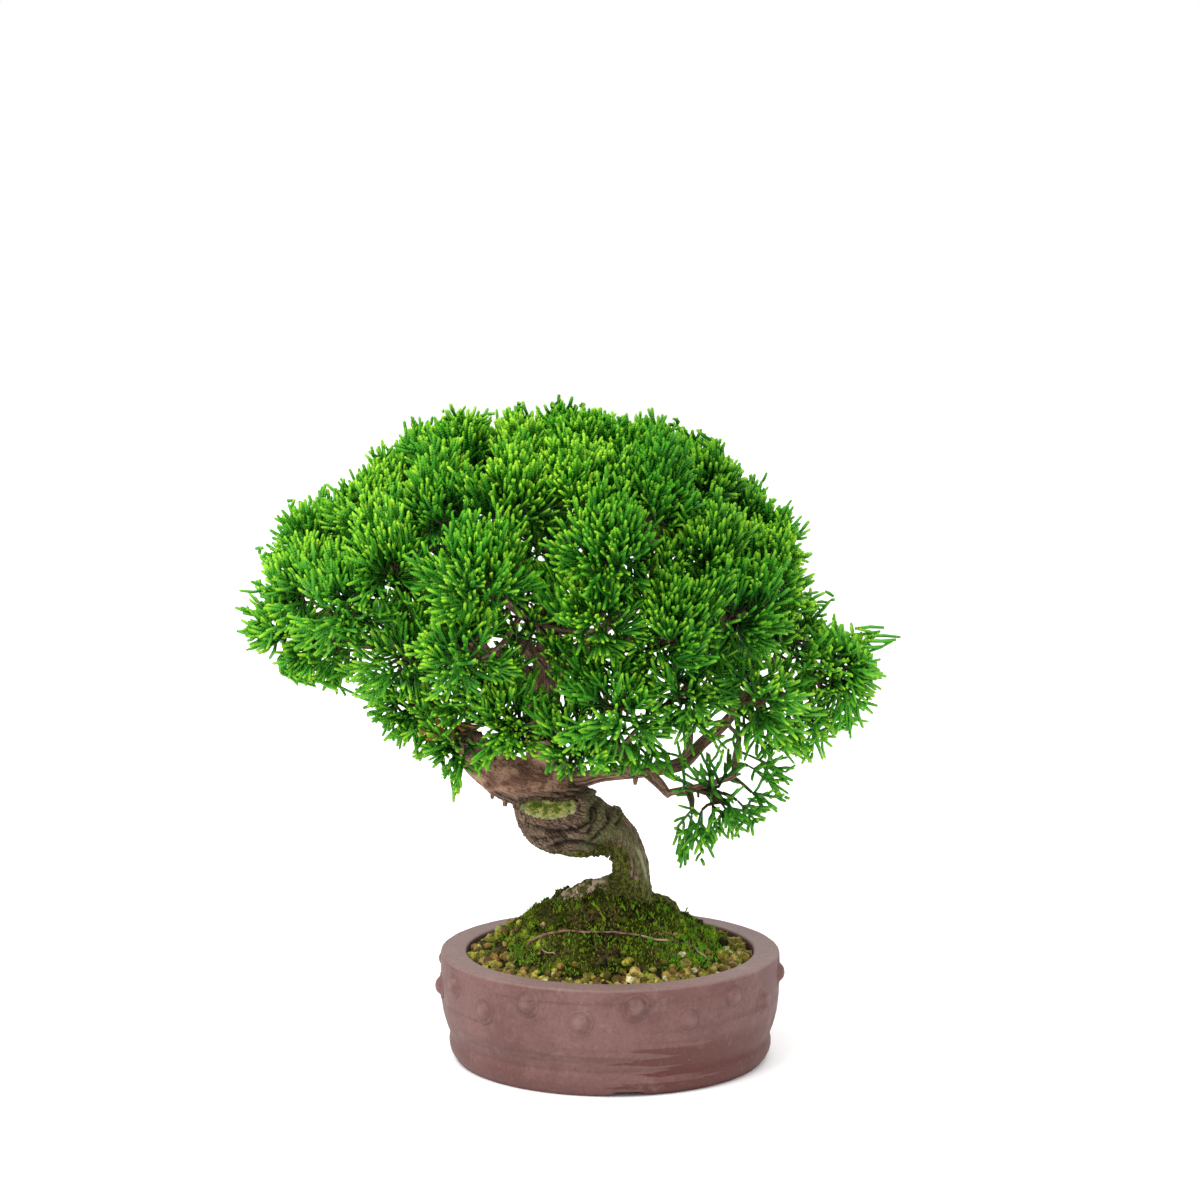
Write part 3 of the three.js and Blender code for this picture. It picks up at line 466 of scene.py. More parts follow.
def crown_radius(angle, grown=0.0):
    """Distance from the axis to the edge of the root crown, an ellipse."""
    half_x, half_y = CROWN_HALF[0] + grown, CROWN_HALF[1] + grown
    return half_x * half_y / np.hypot(half_y * np.cos(angle), half_x * np.sin(angle))


def moss_edge(angle):
    """Scalloped outer edge of the moss."""
    return MOSS_EDGE + 2.2 * np.sin(3 * angle + 1) + 1.6 * np.sin(5 * angle)


def ground_sheet(inner, outer, rows, turns, lift):
    """Points of a ring of ground between two radii (functions of the angle), lifted by lift(x, y, share)."""
    angle = np.linspace(0, 2 * math.pi, turns, endpoint=False)
    share = np.linspace(0, 1, rows)[:, None]
    radius = inner(angle) + (outer(angle) - inner(angle)) * share
    x, y = radius * np.cos(angle), radius * np.sin(angle)
    return np.stack([x, y, ground_height(x, y) + lift(x, y, share)], -1)


def soil_bed():
    """The soil as one closed body: top sheet, wall, floor and the hole for the root crown."""
    wall = MOUTH_RADIUS - 0.35

    def crumbs(x, y, share):
        """How far the bed lies over the ground's height: below it everywhere, and rough off the wall."""
        places = np.stack([x, y, 0 * x], -1).reshape(-1, 3)
        return -0.6 + 0.5 * layered(places / 3, 31).reshape(x.shape) * (share < 1)

    sheet = ground_sheet(lambda a: crown_radius(a, 0.4), lambda a: wall + 0 * a, 40, 160, crumbs)
    inner, outer = sheet[0].copy(), sheet[-1].copy()
    inner[:, 2] = CROWN_BOTTOM - 0.3
    outer[:, 2] = POT_FLOOR + 4
    floor = outer * [0.97, 0.97, 0] + [0, 0, POT_FLOOR + 3.7]
    rings = np.concatenate([[floor], [outer], sheet[::-1], [inner]])
    return capped(rings, [0, 0, POT_FLOOR + 3.7], [0, 0, CROWN_BOTTOM - 0.3])


def granules(places, radii, seed):
    """Many rough grains: a small ball of rings pushed in and out by noise of its own, turned at random."""
    rng = np.random.default_rng(seed)
    polar = np.radians([28, 62, 98, 138])[:, None]
    around = np.linspace(0, 2 * math.pi, 6, endpoint=False)
    ball = np.stack([
        np.sin(polar) * np.cos(around + polar), np.sin(polar) * np.sin(around + polar),
        np.cos(polar) + 0 * around,
    ], -1)[::-1]
    shape, blocks = capped(ball, [0, 0, -1], [0, 0, 1])
    count, corners = len(places), len(shape)
    rough = 1 + rng.uniform(-0.2, 0.2, (count, corners, 1))
    squash = rng.uniform(0.72, 1.15, (count, 1, 3))
    turns, _ = np.linalg.qr(rng.normal(size=(count, 3, 3)))
    turns *= np.sign(np.linalg.det(turns))[:, None, None]
    grains = shape * rough * squash * radii[:, None, None]
    points = np.einsum("nij,nkj->nki", turns, grains) + places[:, None]
    starts = (np.arange(count) * corners)[:, None, None]
    blocks = [(block[None] + starts).reshape(-1, block.shape[1]) for block in blocks]
    tone = np.repeat(rng.uniform(0, 1, count), corners)
    return points.reshape(-1, 3), blocks, tone


def grain_places():
    """Middles and radii of the grains in the ring of bare soil, piled up to the wall, and of a few strays
    on the moss."""
    rng = np.random.default_rng(41)
    angle = rng.uniform(0, 2 * math.pi, GRAIN_COUNT)
    inner = moss_edge(angle) - 3.5
    radius = inner + (MOUTH_RADIUS - 2.4 - inner) * np.sqrt(rng.uniform(0, 1, len(angle)))
    strays = rng.uniform(0, 2 * math.pi, STRAY_GRAINS)
    away = moss_edge(strays) - 4 - np.abs(rng.normal(0, 7, len(strays)))
    angle, radius = np.concatenate([angle, strays]), np.concatenate([radius, away])
    x, y = radius * np.cos(angle), radius * np.sin(angle)
    size = rng.uniform(1.2, 2.9, len(angle)) * np.where(np.arange(len(angle)) < GRAIN_COUNT, 1, 0.75)
    lift = np.where(radius > moss_edge(angle) - 1, 0.2, MOSS_THICK * 0.75)
    lift = lift + rng.uniform(-0.4, 1.1, len(angle))
    lift += 2.2 * np.clip((radius - 62) / 7, 0, 1)
    return np.stack([x, y, ground_height(x, y) + lift], -1), size


# Colours of the grains by their stored tone: from dark brown through tan, green and ochre to cream
GRAIN_TONES = [
    (0.0, (0.05, 0.03, 0.01)), (0.22, (0.17, 0.085, 0.025)), (0.42, (0.4, 0.24, 0.06)),
    (0.6, (0.25, 0.28, 0.02)), (0.76, (0.62, 0.42, 0.15)), (0.9, (0.5, 0.5, 0.05)),
    (1.0, (0.92, 0.78, 0.5)),
]
GRAIN_ALGAE = (0.13, 0.17, 0.008)
GRAIN_MOTTLE = (0.035, 0.028, 0.006)
GRAIN_PORE = (0.05, 0.038, 0.014)
BED_SHADE_DARK = (0.012, 0.01, 0.004)
BED_SHADE_GREEN = (0.05, 0.05, 0.008)
baked = Finish("baked_clay_granules")
where = baked.place()
tone = baked.stored("tone")
fine = baked.noise(where, 1400.0, 3.0)
base = baked.node("ValToRGB", {"stops": GRAIN_TONES}, {"Fac": tone})
algae = baked.step(baked.noise(where, 75.0, 5.0, 0.65), 0.44, 0.6)
base = baked.blend(algae * 0.55, base, GRAIN_ALGAE)
mottled = baked.step(baked.noise(where, 260.0, 3.0), 0.42, 0.62)
base = baked.blend(mottled * 0.7, base, GRAIN_MOTTLE)
base = baked.blend(baked.step(fine, 0.3, 0.52), GRAIN_PORE, base)
# Painted shade: the soil bed, seen only in the gaps between the grains, is near black mottled with dark
# green
shaded_bed = baked.step(tone, 0.05, 0.035)
base = baked.blend(shaded_bed, base, baked.blend(mottled, BED_SHADE_DARK, BED_SHADE_GREEN))
granule_material = baked.surface(
    Base_Color=base, Roughness=baked.step(fine, 0.2, 0.8) * 0.15 + 0.75, Specular_IOR_Level=0.12,
    Normal=baked.bump(fine, 0.0005, 0.7),
)
bed_points, bed_blocks = soil_bed()
bed = make_mesh("soil_bed", bed_points * MM + AXIS, bed_blocks, {"tone": np.full(len(bed_points), 0.03)})
add_piece("soil_bed", bed, granule_material, "soil", "soil")
grain_points, grain_blocks, grain_tone = granules(*grain_places(), 42)
grains = make_mesh("soil_granules", grain_points * MM + AXIS, grain_blocks, {"tone": grain_tone})
add_piece("soil_granules", grains, granule_material, "soil")


# Wood: root crown, stem, its twisted coil, a scarred ledge, a broken log, every limb and every twig,
# all one grown piece. The thick parts are run together by a fine voxel mesh and furrowed along the
# grain, and limbs and twigs are swept and sink into them.
STEM = [
    [9, 0, 66, 9.5], [10, 0, 82, 9.9], [10.5, 0, 95, 8.6], [7.6, 0, 106, 8.3], [1, -1, 114.5, 9.2],
    [-9, -2.5, 117.5, 11.4], [-20, -3.5, 115.5, 13.2], [-31, -2.5, 117, 12.2], [-37.5, 3, 124, 10],
    [-33, 10, 133, 10], [-24, 11, 137, 10], [-27, 9, 141, 9.2], [-33, 8, 150, 8.8], [-34.5, 9, 163, 8.2],
    [-33, 8, 178, 7.4], [-32, 5, 198, 6.4], [-29, 0, 218, 5.4], [-25, -3, 240, 4.5], [-18, 0, 262, 3.6],
    [-12, 0, 284, 2.4],
]
LOG = [
    [-22, 7, 136.5, 9.6], [-36, 5, 137, 11.2], [-48, 4, 138.8, 11.6], [-59, 3, 145, 10.7],
    [-68.5, 1, 154, 9.2], [-76, -2, 165, 6.8],
]
LIMBS = [
    [[-24, 9, 138, 4.4], [-13, 4, 139, 4.2], [-4, 0, 142, 3.9], [20, -4, 145, 3.5], [36, -6, 149, 3.4],
     [46, -6, 159, 3.2], [55, -6, 167, 2.9], [63, -5, 175, 2.4], [82, -3, 182, 2], [97, 0, 181, 1.8],
     [106, 0, 186, 1.5]],
    [[17, -4, 145, 2.9], [24, -6, 139, 2.8], [29.5, -9, 132.5, 1.9]],
    [[28, -8, 134, 1.9], [44, -12, 138, 1.6], [55, -13, 141.5, 1.6], [61, -12, 144, 1.9],
     [62, -11, 153, 1.7], [64, -10, 163, 1.3]],
    [[36, -6, 149, 2.2], [39, -7, 158, 1.9], [40, -7, 167, 1.4]],
    [[10, -3, 143, 2.2], [8, -25, 152, 1.9], [4, -45, 162, 1.5]],
    [[-33, 8, 183, 4.4], [-50, 4, 198, 4], [-75, 0, 204, 3.4], [-100, -3, 207, 2.8],
     [-125, -4, 208, 2.2], [-146, 0, 209, 1.6]],
    [[-34, 9, 168, 4.2], [-55, 14, 192, 3.8], [-80, 18, 222, 3.2], [-104, 14, 247, 2.5],
     [-124, 8, 258, 1.7]],
    [[-32, 5, 196, 3.8], [-52, -20, 218, 3.2], [-74, -38, 236, 2.6], [-92, -42, 250, 1.8]],
    [[-33, 7, 186, 4.6], [-20, 4, 199, 4.2], [5, 9, 207, 3.8], [35, 10, 214, 3.2], [62, 8, 222, 2.6],
     [84, 4, 228, 1.8]],
    [[-29, 1, 216, 3.8], [-8, -26, 232, 3.2], [18, -48, 242, 2.6], [36, -52, 246, 1.8]],
    [[-26, -2, 236, 3.4], [2, -2, 252, 2.9], [30, -4, 264, 2.4], [54, -4, 268, 1.7]],
    [[-30, 1, 212, 3.6], [-34, -30, 222, 3], [-42, -62, 230, 2.4], [-50, -74, 238, 1.7]],
    [[-33, 8, 180, 4.2], [-31, 34, 200, 3.6], [-42, 60, 216, 2.9], [-62, 76, 224, 1.9]],
    [[-32, 20, 190, 3.2], [-8, 46, 206, 2.9], [14, 72, 218, 2.4], [22, 88, 224, 1.6]],
    [[-28, 0, 224, 3.4], [-50, 28, 246, 2.9], [-76, 46, 258, 2.2], [-92, 52, 262, 1.6]],
    [[-26, -2, 236, 3.2], [-4, 28, 256, 2.7], [18, 48, 262, 2.2], [34, 54, 264, 1.6]],
    [[-14, 0, 276, 2.5], [-34, 2, 288, 2], [-54, 0, 294, 1.5]],
    [[-22, -2, 250, 3], [-50, -4, 270, 2.4], [-74, 0, 284, 1.8], [-88, 4, 288, 1.4]],
    [[10, 10, 208, 3], [36, 34, 206, 2.5], [50, 60, 198, 1.8]],
]
ROOTS = [
    [[15, -1, 80, 3.4], [23, -2.5, 80, 2.3], [29, -4, 78.5, 2], [33.5, -5, 73.5, 1.8],
     [34.5, -5.5, 62, 1.6]],
    [[6, 0, 86, 6.5], [-6, -5, 84.6, 5.4], [-15, -7, 83.6, 4.7], [-23, -7, 80, 3.3], [-29, -6, 74, 2.2]],
    [[8, -4, 84, 6], [2, -8, 82, 4], [-3, -11, 78, 1.4]],
    [[12, 4, 84, 6], [14, 6.5, 81, 3.2], [15, 7.5, 77, 1.2]],
]
# The band of living bark that climbs the stem's right side and crosses the front of the coil
VEIN = [
    [18.5, -3, 74, 3.6], [17, -3.5, 84, 3.8], [15.2, -4.5, 94, 3.6], [12.6, -5, 103, 3.8],
    [8.8, -6.4, 110, 4.2], [3, -8, 114.6, 4.4], [-3.5, -10.5, 114, 4], [-9, -12.4, 111, 3.4],
    [-14, -12.6, 108, 2.4],
]
# Strands that wrap over the coil from behind, down to its front
WRAPS = [
    [[2, 5, 121, 3], [2.5, -2, 122.5, 3.6], [0, -8, 120, 3.4], [-5, -12, 116.5, 2.8],
     [-12, -13.5, 113.5, 2]],
    [[-8, 6, 126, 3.4], [-6, -3, 126.5, 4], [-7, -9.5, 123.5, 4], [-11, -13, 119, 3.4],
     [-20, -15, 115, 2.4]],
    [[-13, 4, 130, 3.6], [-11, -4, 131, 4], [-12, -10, 127, 3.6], [-18, -13.5, 121, 3],
     [-28, -14.5, 117, 2.4]],
    [[-40, -2, 116, 3.2], [-34, -10, 110.5, 4], [-22, -12, 107.5, 4], [-9, -10, 106, 3.2],
     [0, -6, 104, 2.4]],
]
# Folds on the coil's front: [x, z] lines with their depth and half width
FOLDS = [
    ([[-44, 119], [-36, 117.5], [-27, 116], [-17, 118], [-10, 121.5], [-8.5, 128]], 1.9, 1.1),
    ([[-30, 108.5], [-25, 110], [-20, 111.5], [-13, 110.5], [-4, 107.5]], 1.8, 1.0),
    ([[-12, 114.5], [-8, 119.5], [-6.5, 124], [-7.5, 129]], 1.4, 0.8),
    ([[-10, 111.5], [-4, 116.8], [-0.5, 120.5], [-1.5, 126]], 1.4, 0.8),
    ([[-40, 112], [-32, 112.6], [-22, 114.2]], 1.1, 0.7),
    ([[3, 119], [5.5, 121.5], [4, 125]], 1.0, 0.7),
]
# Wood that closes the crease between the log's foot and the wraps
CREASE = [[-24, 6, 134, 6], [-17, 4, 131, 6], [-9, 5, 128, 5]]
# A knot hole in the coil's front, in x and z
KNOT = (-25.5, 109.5)
# Short dead stubs under the log and under the long branch
STUBS = [
    [[-52, 3, 132, 1.9], [-52.6, 2, 125.4, 1.1]], [[-58, 2, 136, 1.7], [-59, 1, 129.4, 0.9]],
    [[-47.5, 2, 131, 1.6], [-48, 1, 124.8, 0.9]], [[13, -4, 144, 1.7], [12.4, -5, 137.6, 1.0]],
]
# The scar's ledge: an ellipsoid cut by a plane that rises from its front edge to the back
LEDGE_MIDDLE = (-30, -7.5, 123.5)
LEDGE_HALF = (16.5, 11.5, 9.5)
LEDGE_FRONT = -9
LEDGE_TOP = 129.4
LEDGE_SLOPE = 0.62
LEDGE_BOTTOM = 112.5
# The scar's curled lip at the ledge's right end
LIP = [[-15, -10, 122, 2.2], [-13, -12.5, 126, 2.3], [-13.5, -13, 130.5, 2], [-16.5, -12, 133.5, 1.4]]
# How many of the stem's points are thick enough for the common skin, and how fine that skin is
STEM_THICK = 15
SKIN_VOXEL = 0.85
# Middles of the bunches of foliage and their half widths: each has a twig of its own
BUNCHES = [
    [-163, 0, 216, 18.5], [-151, -20, 241, 19.5], [-148, 20, 256, 18], [-117, -5, 276, 20],
    [-94, 22, 291, 21.5], [-73, -16, 300, 22], [-43, 24, 301, 21], [-11, -10, 305, 22.5],
    [20, 26, 298, 22.5], [45, -16, 289, 22], [66, 20, 267, 21.5], [78, -15, 247, 20.5],
    [96, 8, 212, 19.5], [116, -10, 198, 18.5], [105, 5, 174, 16.5], [57, -15, 133, 19.5],
    [-77, -28, 167, 18.5], [-102, -6, 183, 18.5],
    [-128, -48, 235, 23], [-106, -60, 258, 22.5], [-82, -58, 281, 22], [-46, -66, 286, 22.5],
    [-13, -60, 289, 22], [20, -62, 284, 22.5], [47, -62, 260, 21.5], [-59, -98, 253, 22.5],
    [-69, -88, 220, 22], [-102, -45, 209, 20.5], [0, -95, 265, 22.5], [-5, -90, 236, 21],
    [31, -82, 228, 22.5], [62, -60, 233, 22], [73, -52, 190, 21], [5, -72, 188, 21],
    [-18, -58, 165, 19.5], [-53, -48, 177, 17.5], [38, -62, 194, 19.5],
    [-136, 50, 233, 24.5], [-101, 62, 265, 24.5], [-62, 66, 286, 24.5], [-14, 68, 288, 25.5],
    [33, 64, 275, 25], [75, 56, 230, 25.5], [-82, 96, 238, 25.5], [-28, 104, 248, 25.5],
    [27, 98, 241, 25.5], [62, 78, 192, 24.5], [-96, 62, 204, 24.5],
    [-43, -20, 295, 19], [16, -20, 299, 21], [-30, 70, 204, 22],
]
# A bunch points away from the crown's heart and somewhat up, and its twig ends a share of its half
# width below its middle
HEART = np.array([-18.0, 0, 192])
LIFT = 0.42
FOOT_BELOW = 0.85
MIDDLES = np.array(BUNCHES, float)[:, :3]
SIZES = np.array(BUNCHES, float)[:, 3]
AXES = MIDDLES - HEART
AXES /= np.linalg.norm(AXES, axis=1)[:, None]
AXES[:, 2] += LIFT
AXES /= np.linalg.norm(AXES, axis=1)[:, None]
FEET = MIDDLES - AXES * SIZES[:, None] * FOOT_BELOW


def unit(vectors):
    """Vectors at length one."""
    return vectors / np.maximum(np.linalg.norm(vectors, axis=-1, keepdims=True), 1e-9)


def spline(points, gap):
    """Points and radii so far apart along a smooth curve through [x, y, z, radius] points: a Catmull-Rom
    curve whose steps are the square roots of the distances, taken at even lengths."""
    given = np.array(points, float)
    ends = np.concatenate([[2 * given[0] - given[1]], given, [2 * given[-1] - given[-2]]])
    knots = np.sqrt(np.linalg.norm(np.diff(ends[:, :3], axis=0), axis=1))
    t = np.linspace(0, 1, 24, endpoint=False)[:, None]
    pieces = []
    for i in range(len(given) - 1):
        before, middle, after = knots[i:i + 3]
        a, b, c, d = ends[i:i + 4]
        leave = ((b - a) / before - (c - a) / (before + middle) + (c - b) / middle) * middle
        arrive = ((c - b) / middle - (d - b) / (middle + after) + (d - c) / after) * middle
        pieces.append(
            b * (2 * t ** 3 - 3 * t ** 2 + 1) + leave * (t ** 3 - 2 * t ** 2 + t)
            + c * (3 * t ** 2 - 2 * t ** 3) + arrive * (t ** 3 - t ** 2)
        )
    fine = np.concatenate([*pieces, given[-1:]])
    length = np.append(0, np.cumsum(np.linalg.norm(np.diff(fine[:, :3], axis=0), axis=1)))
    even = np.linspace(0, length[-1], max(int(length[-1] / gap), 3) + 1)
    return np.stack([np.interp(even, length, column) for column in fine.T], 1), even


def frames(route):
    """Directions along and square to a route at each station, carried on without twist."""
    along = unit(np.gradient(route, axis=0))
    side = np.cross(along[0], [0, 0, 1] if abs(along[0][2]) < 0.9 else [1, 0, 0])
    first = np.zeros_like(along)
    for i, axis in enumerate(along):
        side = side - axis * (side @ axis)
        side /= np.linalg.norm(side)
        first[i] = side
    return first, np.cross(along, first)


def sweep(points, gap, sides, furrows=0.0, seed=0):
    """A closed branch: rings round a smooth curve, furrowed along their length, and the grain of each
    point: its place across the branch, and its distance along."""
    places, lengths = spline(points, gap)
    route, radius = places[:, :3], places[:, 3]
    first, second = frames(route)
    around = np.linspace(0, 2 * math.pi, sides, endpoint=False)
    circle = np.stack([np.cos(around), np.sin(around)], -1)
    flat = np.broadcast_to(circle[None], (len(route), sides, 2))
    along = np.broadcast_to(lengths[:, None, None], (len(route), sides, 1))
    grain = np.concatenate([flat * radius[:, None, None], along], -1)
    if furrows:
        sample = (grain * [0.9, 0.9, 0.07] + seed * 17.3).reshape(-1, 3)
        swell = (grain * [0.22, 0.22, 0.05] + seed * 5.1).reshape(-1, 3)
        lift = furrows * layered(sample, seed, 2) * 0.5 + furrows * 0.9 * lattice(swell, seed + 5)
        reach = radius[:, None] + lift.reshape(grain.shape[:2]) * np.minimum(radius[:, None] / 3, 1)
    else:
        reach = np.broadcast_to(radius[:, None], grain.shape[:2])
    outward = flat[..., :1] * first[:, None] + flat[..., 1:] * second[:, None]
    rings = route[:, None] + reach[..., None] * outward
    rings[-1] = route[-1] + (rings[-1] - route[-1]) * 0.8
    parts, blocks = capped(rings, route[0], route[-1])
    grain = np.concatenate([grain.reshape(-1, 3), [[0, 0, 0], [0, 0, lengths[-1]]]])
    return parts, blocks, grain + [seed * 40.0, 0, 0]


def crown_lump():
    """The root crown: an ellipse in plan, domed, with five lobes round its shoulder."""
    outline = np.array([[1, CROWN_BOTTOM], [1, 60], [1, 79], [0.92, 82.5], [0.7, 86], [0.4, 88]])
    angle = np.linspace(0, 2 * math.pi, 72, endpoint=False)
    share, height = outline[:, :1], outline[:, 1:]
    lobes = np.where(height > 80, 1.4 * np.sin(5 * angle + 1) * share, 0)
    radius = share * crown_radius(angle)
    rings = np.stack([radius * np.cos(angle), radius * np.sin(angle), height + lobes], -1)
    return capped(rings, [0, 0, CROWN_BOTTOM], [0, 0, 89])


def ledge_height(y):
    """Height of the plane that cuts the ledge."""
    return LEDGE_TOP + LEDGE_SLOPE * (y - LEDGE_FRONT)


def ledge_lump():
    """The scar's ledge: an ellipsoid flattened where it rises past the plane."""
    polar = np.linspace(math.pi, 0, 22)[1:-1, None]
    around = np.linspace(0, 2 * math.pi, 40, endpoint=False)
    ball = np.stack([
        np.sin(polar) * np.cos(around), np.sin(polar) * np.sin(around), np.cos(polar) + 0 * around,
    ], -1)
    rings = ball * LEDGE_HALF + LEDGE_MIDDLE
    rings[..., 2] = np.minimum(rings[..., 2], ledge_height(rings[..., 1]))
    across, back, _ = LEDGE_MIDDLE
    return capped(rings, [across, back, LEDGE_BOTTOM], [across, back, ledge_height(back)])


def nearest_limb(index, stretches):
    """Twig of a bunch: from the nearest limb, rather from below, to the bunch's foot, with a slight sag."""
    foot, axis = FEET[index], AXES[index]
    span = np.linalg.norm(stretches[:, :3] - foot, axis=1)
    best = np.argmin(span + 0.8 * np.maximum(0, stretches[:, 2] - foot[2]))
    start, span = stretches[best], span[best]
    thick = min(start[3] * 0.85, 1.1 + 0.02 * span)
    end = [*(foot + axis * 1.5), 0.85]
    middle = start[:3] * 0.45 + foot * 0.55 - axis * 0.12 * span
    return [[*start[:3], thick], [*middle, (thick + 1) / 2], end]


# Places along the limbs, the log's outer end and the upper stem that a twig may grow from
BEARERS = [*LIMBS, LOG[3:], STEM[STEM_THICK:]]
WOOD_SAMPLES = np.concatenate([spline(points, 2.0)[0] for points in BEARERS])
TWIGS = [nearest_limb(index, WOOD_SAMPLES) for index in range(len(BUNCHES))]


def remeshed(points, blocks, voxel):
    """Overlapping closed bodies as one even skin."""
    rough = bpy.data.objects.new("rough", make_mesh("rough", points * MM, blocks))
    bpy.context.scene.collection.objects.link(rough)
    modifier = rough.modifiers.new("skin", "REMESH")
    modifier.mode = "VOXEL"
    modifier.voxel_size = voxel * MM
    evaluated = rough.evaluated_get(bpy.context.evaluated_depsgraph_get())
    skin = bpy.data.meshes.new_from_object(evaluated)
    bpy.data.objects.remove(rough)
    return skin


def mesh_arrays(mesh):
    """Points and quads of a mesh that has only quads."""
    points = np.empty(len(mesh.vertices) * 3)
    mesh.vertices.foreach_get("co", points)
    corners = np.empty(len(mesh.loops), np.int32)
    mesh.loops.foreach_get("vertex_index", corners)
    return points.reshape(-1, 3) / MM, corners.reshape(-1, 4)


def relaxed(points, quads, rounds):
    """Each point moved half way to the middle of its neighbours, several times."""
    pairs = np.concatenate([quads[:, [i, (i + 1) % 4]] for i in range(4)])
    count = np.bincount(pairs[:, 0], minlength=len(points))[:, None]
    for _ in range(rounds):
        beside = points[pairs[:, 1]]
        total = np.stack([np.bincount(pairs[:, 0], beside[:, k], len(points)) for k in range(3)], 1)
        points = points * 0.5 + total / count * 0.5
    return points


def point_normals(points, quads):
    """Outward direction at each point: the sum of the crossed diagonals of its quads."""
    corners = points[quads]
    crossed = np.cross(corners[:, 2] - corners[:, 0], corners[:, 3] - corners[:, 1])
    total = sum(
        np.stack([np.bincount(quads[:, i], crossed[:, k], len(points)) for k in range(3)], 1)
        for i in range(4)
    )
    return unit(total)


def nearest(points, samples):
    """Number of the nearest sample for each point, and how far it is."""
    best = np.empty(len(points), int)
    away = np.empty(len(points))
    for start in range(0, len(points), 4000):
        part = points[start:start + 4000]
        squared = (part ** 2).sum(1)[:, None] - 2 * part @ samples.T + (samples ** 2).sum(1)
        best[start:start + 4000] = squared.argmin(1)
        away[start:start + 4000] = np.sqrt(np.maximum(squared.min(1), 0))
    return best, away


def off_line(x, z, line):
    """Distance in the x-z plane from each point to a broken line."""
    line = np.array(line, float)
    place = np.stack([x, z], -1)
    away = np.full(len(x), 1e9)
    for start, end in zip(line[:-1], line[1:]):
        run = end - start
        share = np.clip((place - start) @ run / (run @ run), 0, 1)
        away = np.minimum(away, np.linalg.norm(place - start - share[:, None] * run, axis=1))
    return away


def twisted_grain(points):
    """The grain at each point: its place across the nearest stretch of stem or log, turned by a twist that
    grows along the coil, and its distance along."""
    stem, stem_length = spline(STEM[:STEM_THICK], 1.0)
    log, log_length = spline(LOG, 1.0)
    first, second = (np.concatenate(pair) for pair in zip(frames(stem[:, :3]), frames(log[:, :3])))
    centre = np.concatenate([stem, log])
    length = np.concatenate([stem_length, log_length + 200])
    best, _ = nearest(points, centre[:, :3])
    offset = points - centre[best, :3]
    along = length[best]
    twist = 3.6 * np.clip((along - 38) / 62, 0, 1) + 0.012 * along
    across, up = (offset * first[best]).sum(1), (offset * second[best]).sum(1)
    turned_across = across * np.cos(twist) + up * np.sin(twist)
    turned_up = up * np.cos(twist) - across * np.sin(twist)
    return np.stack([turned_across, turned_up, along], 1)


def vein_marks(points, normals):
    """The living vein, 1 within nine tenths of its radius and 0 a little past it, and a painted highlight on
    it where the bark faces one narrow way, right of the front."""
    z = points[:, 2]
    line, _ = spline(VEIN, 1.0)
    near, away = nearest(points, line[:, :3])
    vein = np.clip(1 - (away - line[near, 3] * 0.9) / 1.4, 0, 1)
    facing = normals @ np.array([0.62, -0.78, 0.05])
    pale = vein * np.clip((facing - 0.955) / 0.025, 0, 1)
    pale = pale * np.clip((z - 86) / 5, 0, 1) * np.clip((108 - z) / 3, 0, 1)
    return vein, pale


def scar_marks(points, normals):
    """The scar on the ledge: the upward points near the cutting plane, inside the ellipsoid with a ragged
    edge, and the rim along its front."""
    x, y, z = points.T
    ledge = np.clip((z - 119) / 2, 0, 1) * (np.abs(z - ledge_height(y)) < 1.5) * (normals[:, 2] > 0.5)
    ledge = ledge * (np.abs(x - LEDGE_MIDDLE[0]) < LEDGE_HALF[0] + 1)
    ledge = ledge * np.clip((-7.4 - y) / 1.2 + 0.5 * layered(points / 3, 66, 1), 0, 1)
    off = ((points - LEDGE_MIDDLE) / LEDGE_HALF) ** 2
    edge = 0.1 * layered(points / 2.6, 68, 2) + off[:, 0] + off[:, 1] + off[:, 2]
    ledge = ledge * np.clip((0.98 - edge) / 0.08, 0, 1)
    rim = ledge * np.clip((edge - 0.78) / 0.12, 0, 1) * np.clip((LEDGE_FRONT - y) / 3, 0, 1)
    return ledge, rim


def tint_marks(points):
    """The olive tint near the wraps, the bare stretch near the left root, and the red of the log: each 1
    close by, falling to 0 with the distance, and kept to its own side and height."""
    x, _, z = points.T
    wraps = np.concatenate([spline(wrap, 1.0)[0][:, :3] for wrap in WRAPS[:3]])
    _, wrap_away = nearest(points, wraps)
    tinted = np.clip(2.2 - wrap_away / 3, 0, 1) * np.clip((x + 15) / 4, 0, 1)
    _, root_away = nearest(points, spline(ROOTS[1], 1.0)[0][:, :3])
    bare = np.clip(3.2 - root_away / 2.6, 0, 1)
    bare = bare * np.clip((0 - x) / 4, 0, 1) * np.clip((z - 78) / 3, 0, 1)
    red = np.clip((z - 131) / 5, 0, 1) * np.clip((-18 - x) / 4, 0, 1)
    return tinted, bare, red


def fold_in(lift, points, front, ledge, lobes, furrow):
    """The lift with the folds and the knot hole sunk into it, each deepest on its line and fading as a
    bell curve, and how deep in one of them each point lies, from 0 to 1."""
    x, z = points[:, 0], points[:, 2]
    folded = np.zeros(len(points))
    for line, depth, wide in FOLDS:
        away = off_line(x + 0.4 * lobes, z + 0.5 * furrow, line)
        ring_inside = np.exp(-(away / wide) ** 2) * front * (1 - ledge)
        lift = lift - 1.25 * depth * ring_inside
        folded = np.maximum(folded, ring_inside)
    pit = np.exp(-((x - KNOT[0]) ** 2 + (z - KNOT[1]) ** 2) / 5) * front
    return lift - 1.8 * pit, np.maximum(folded, pit)


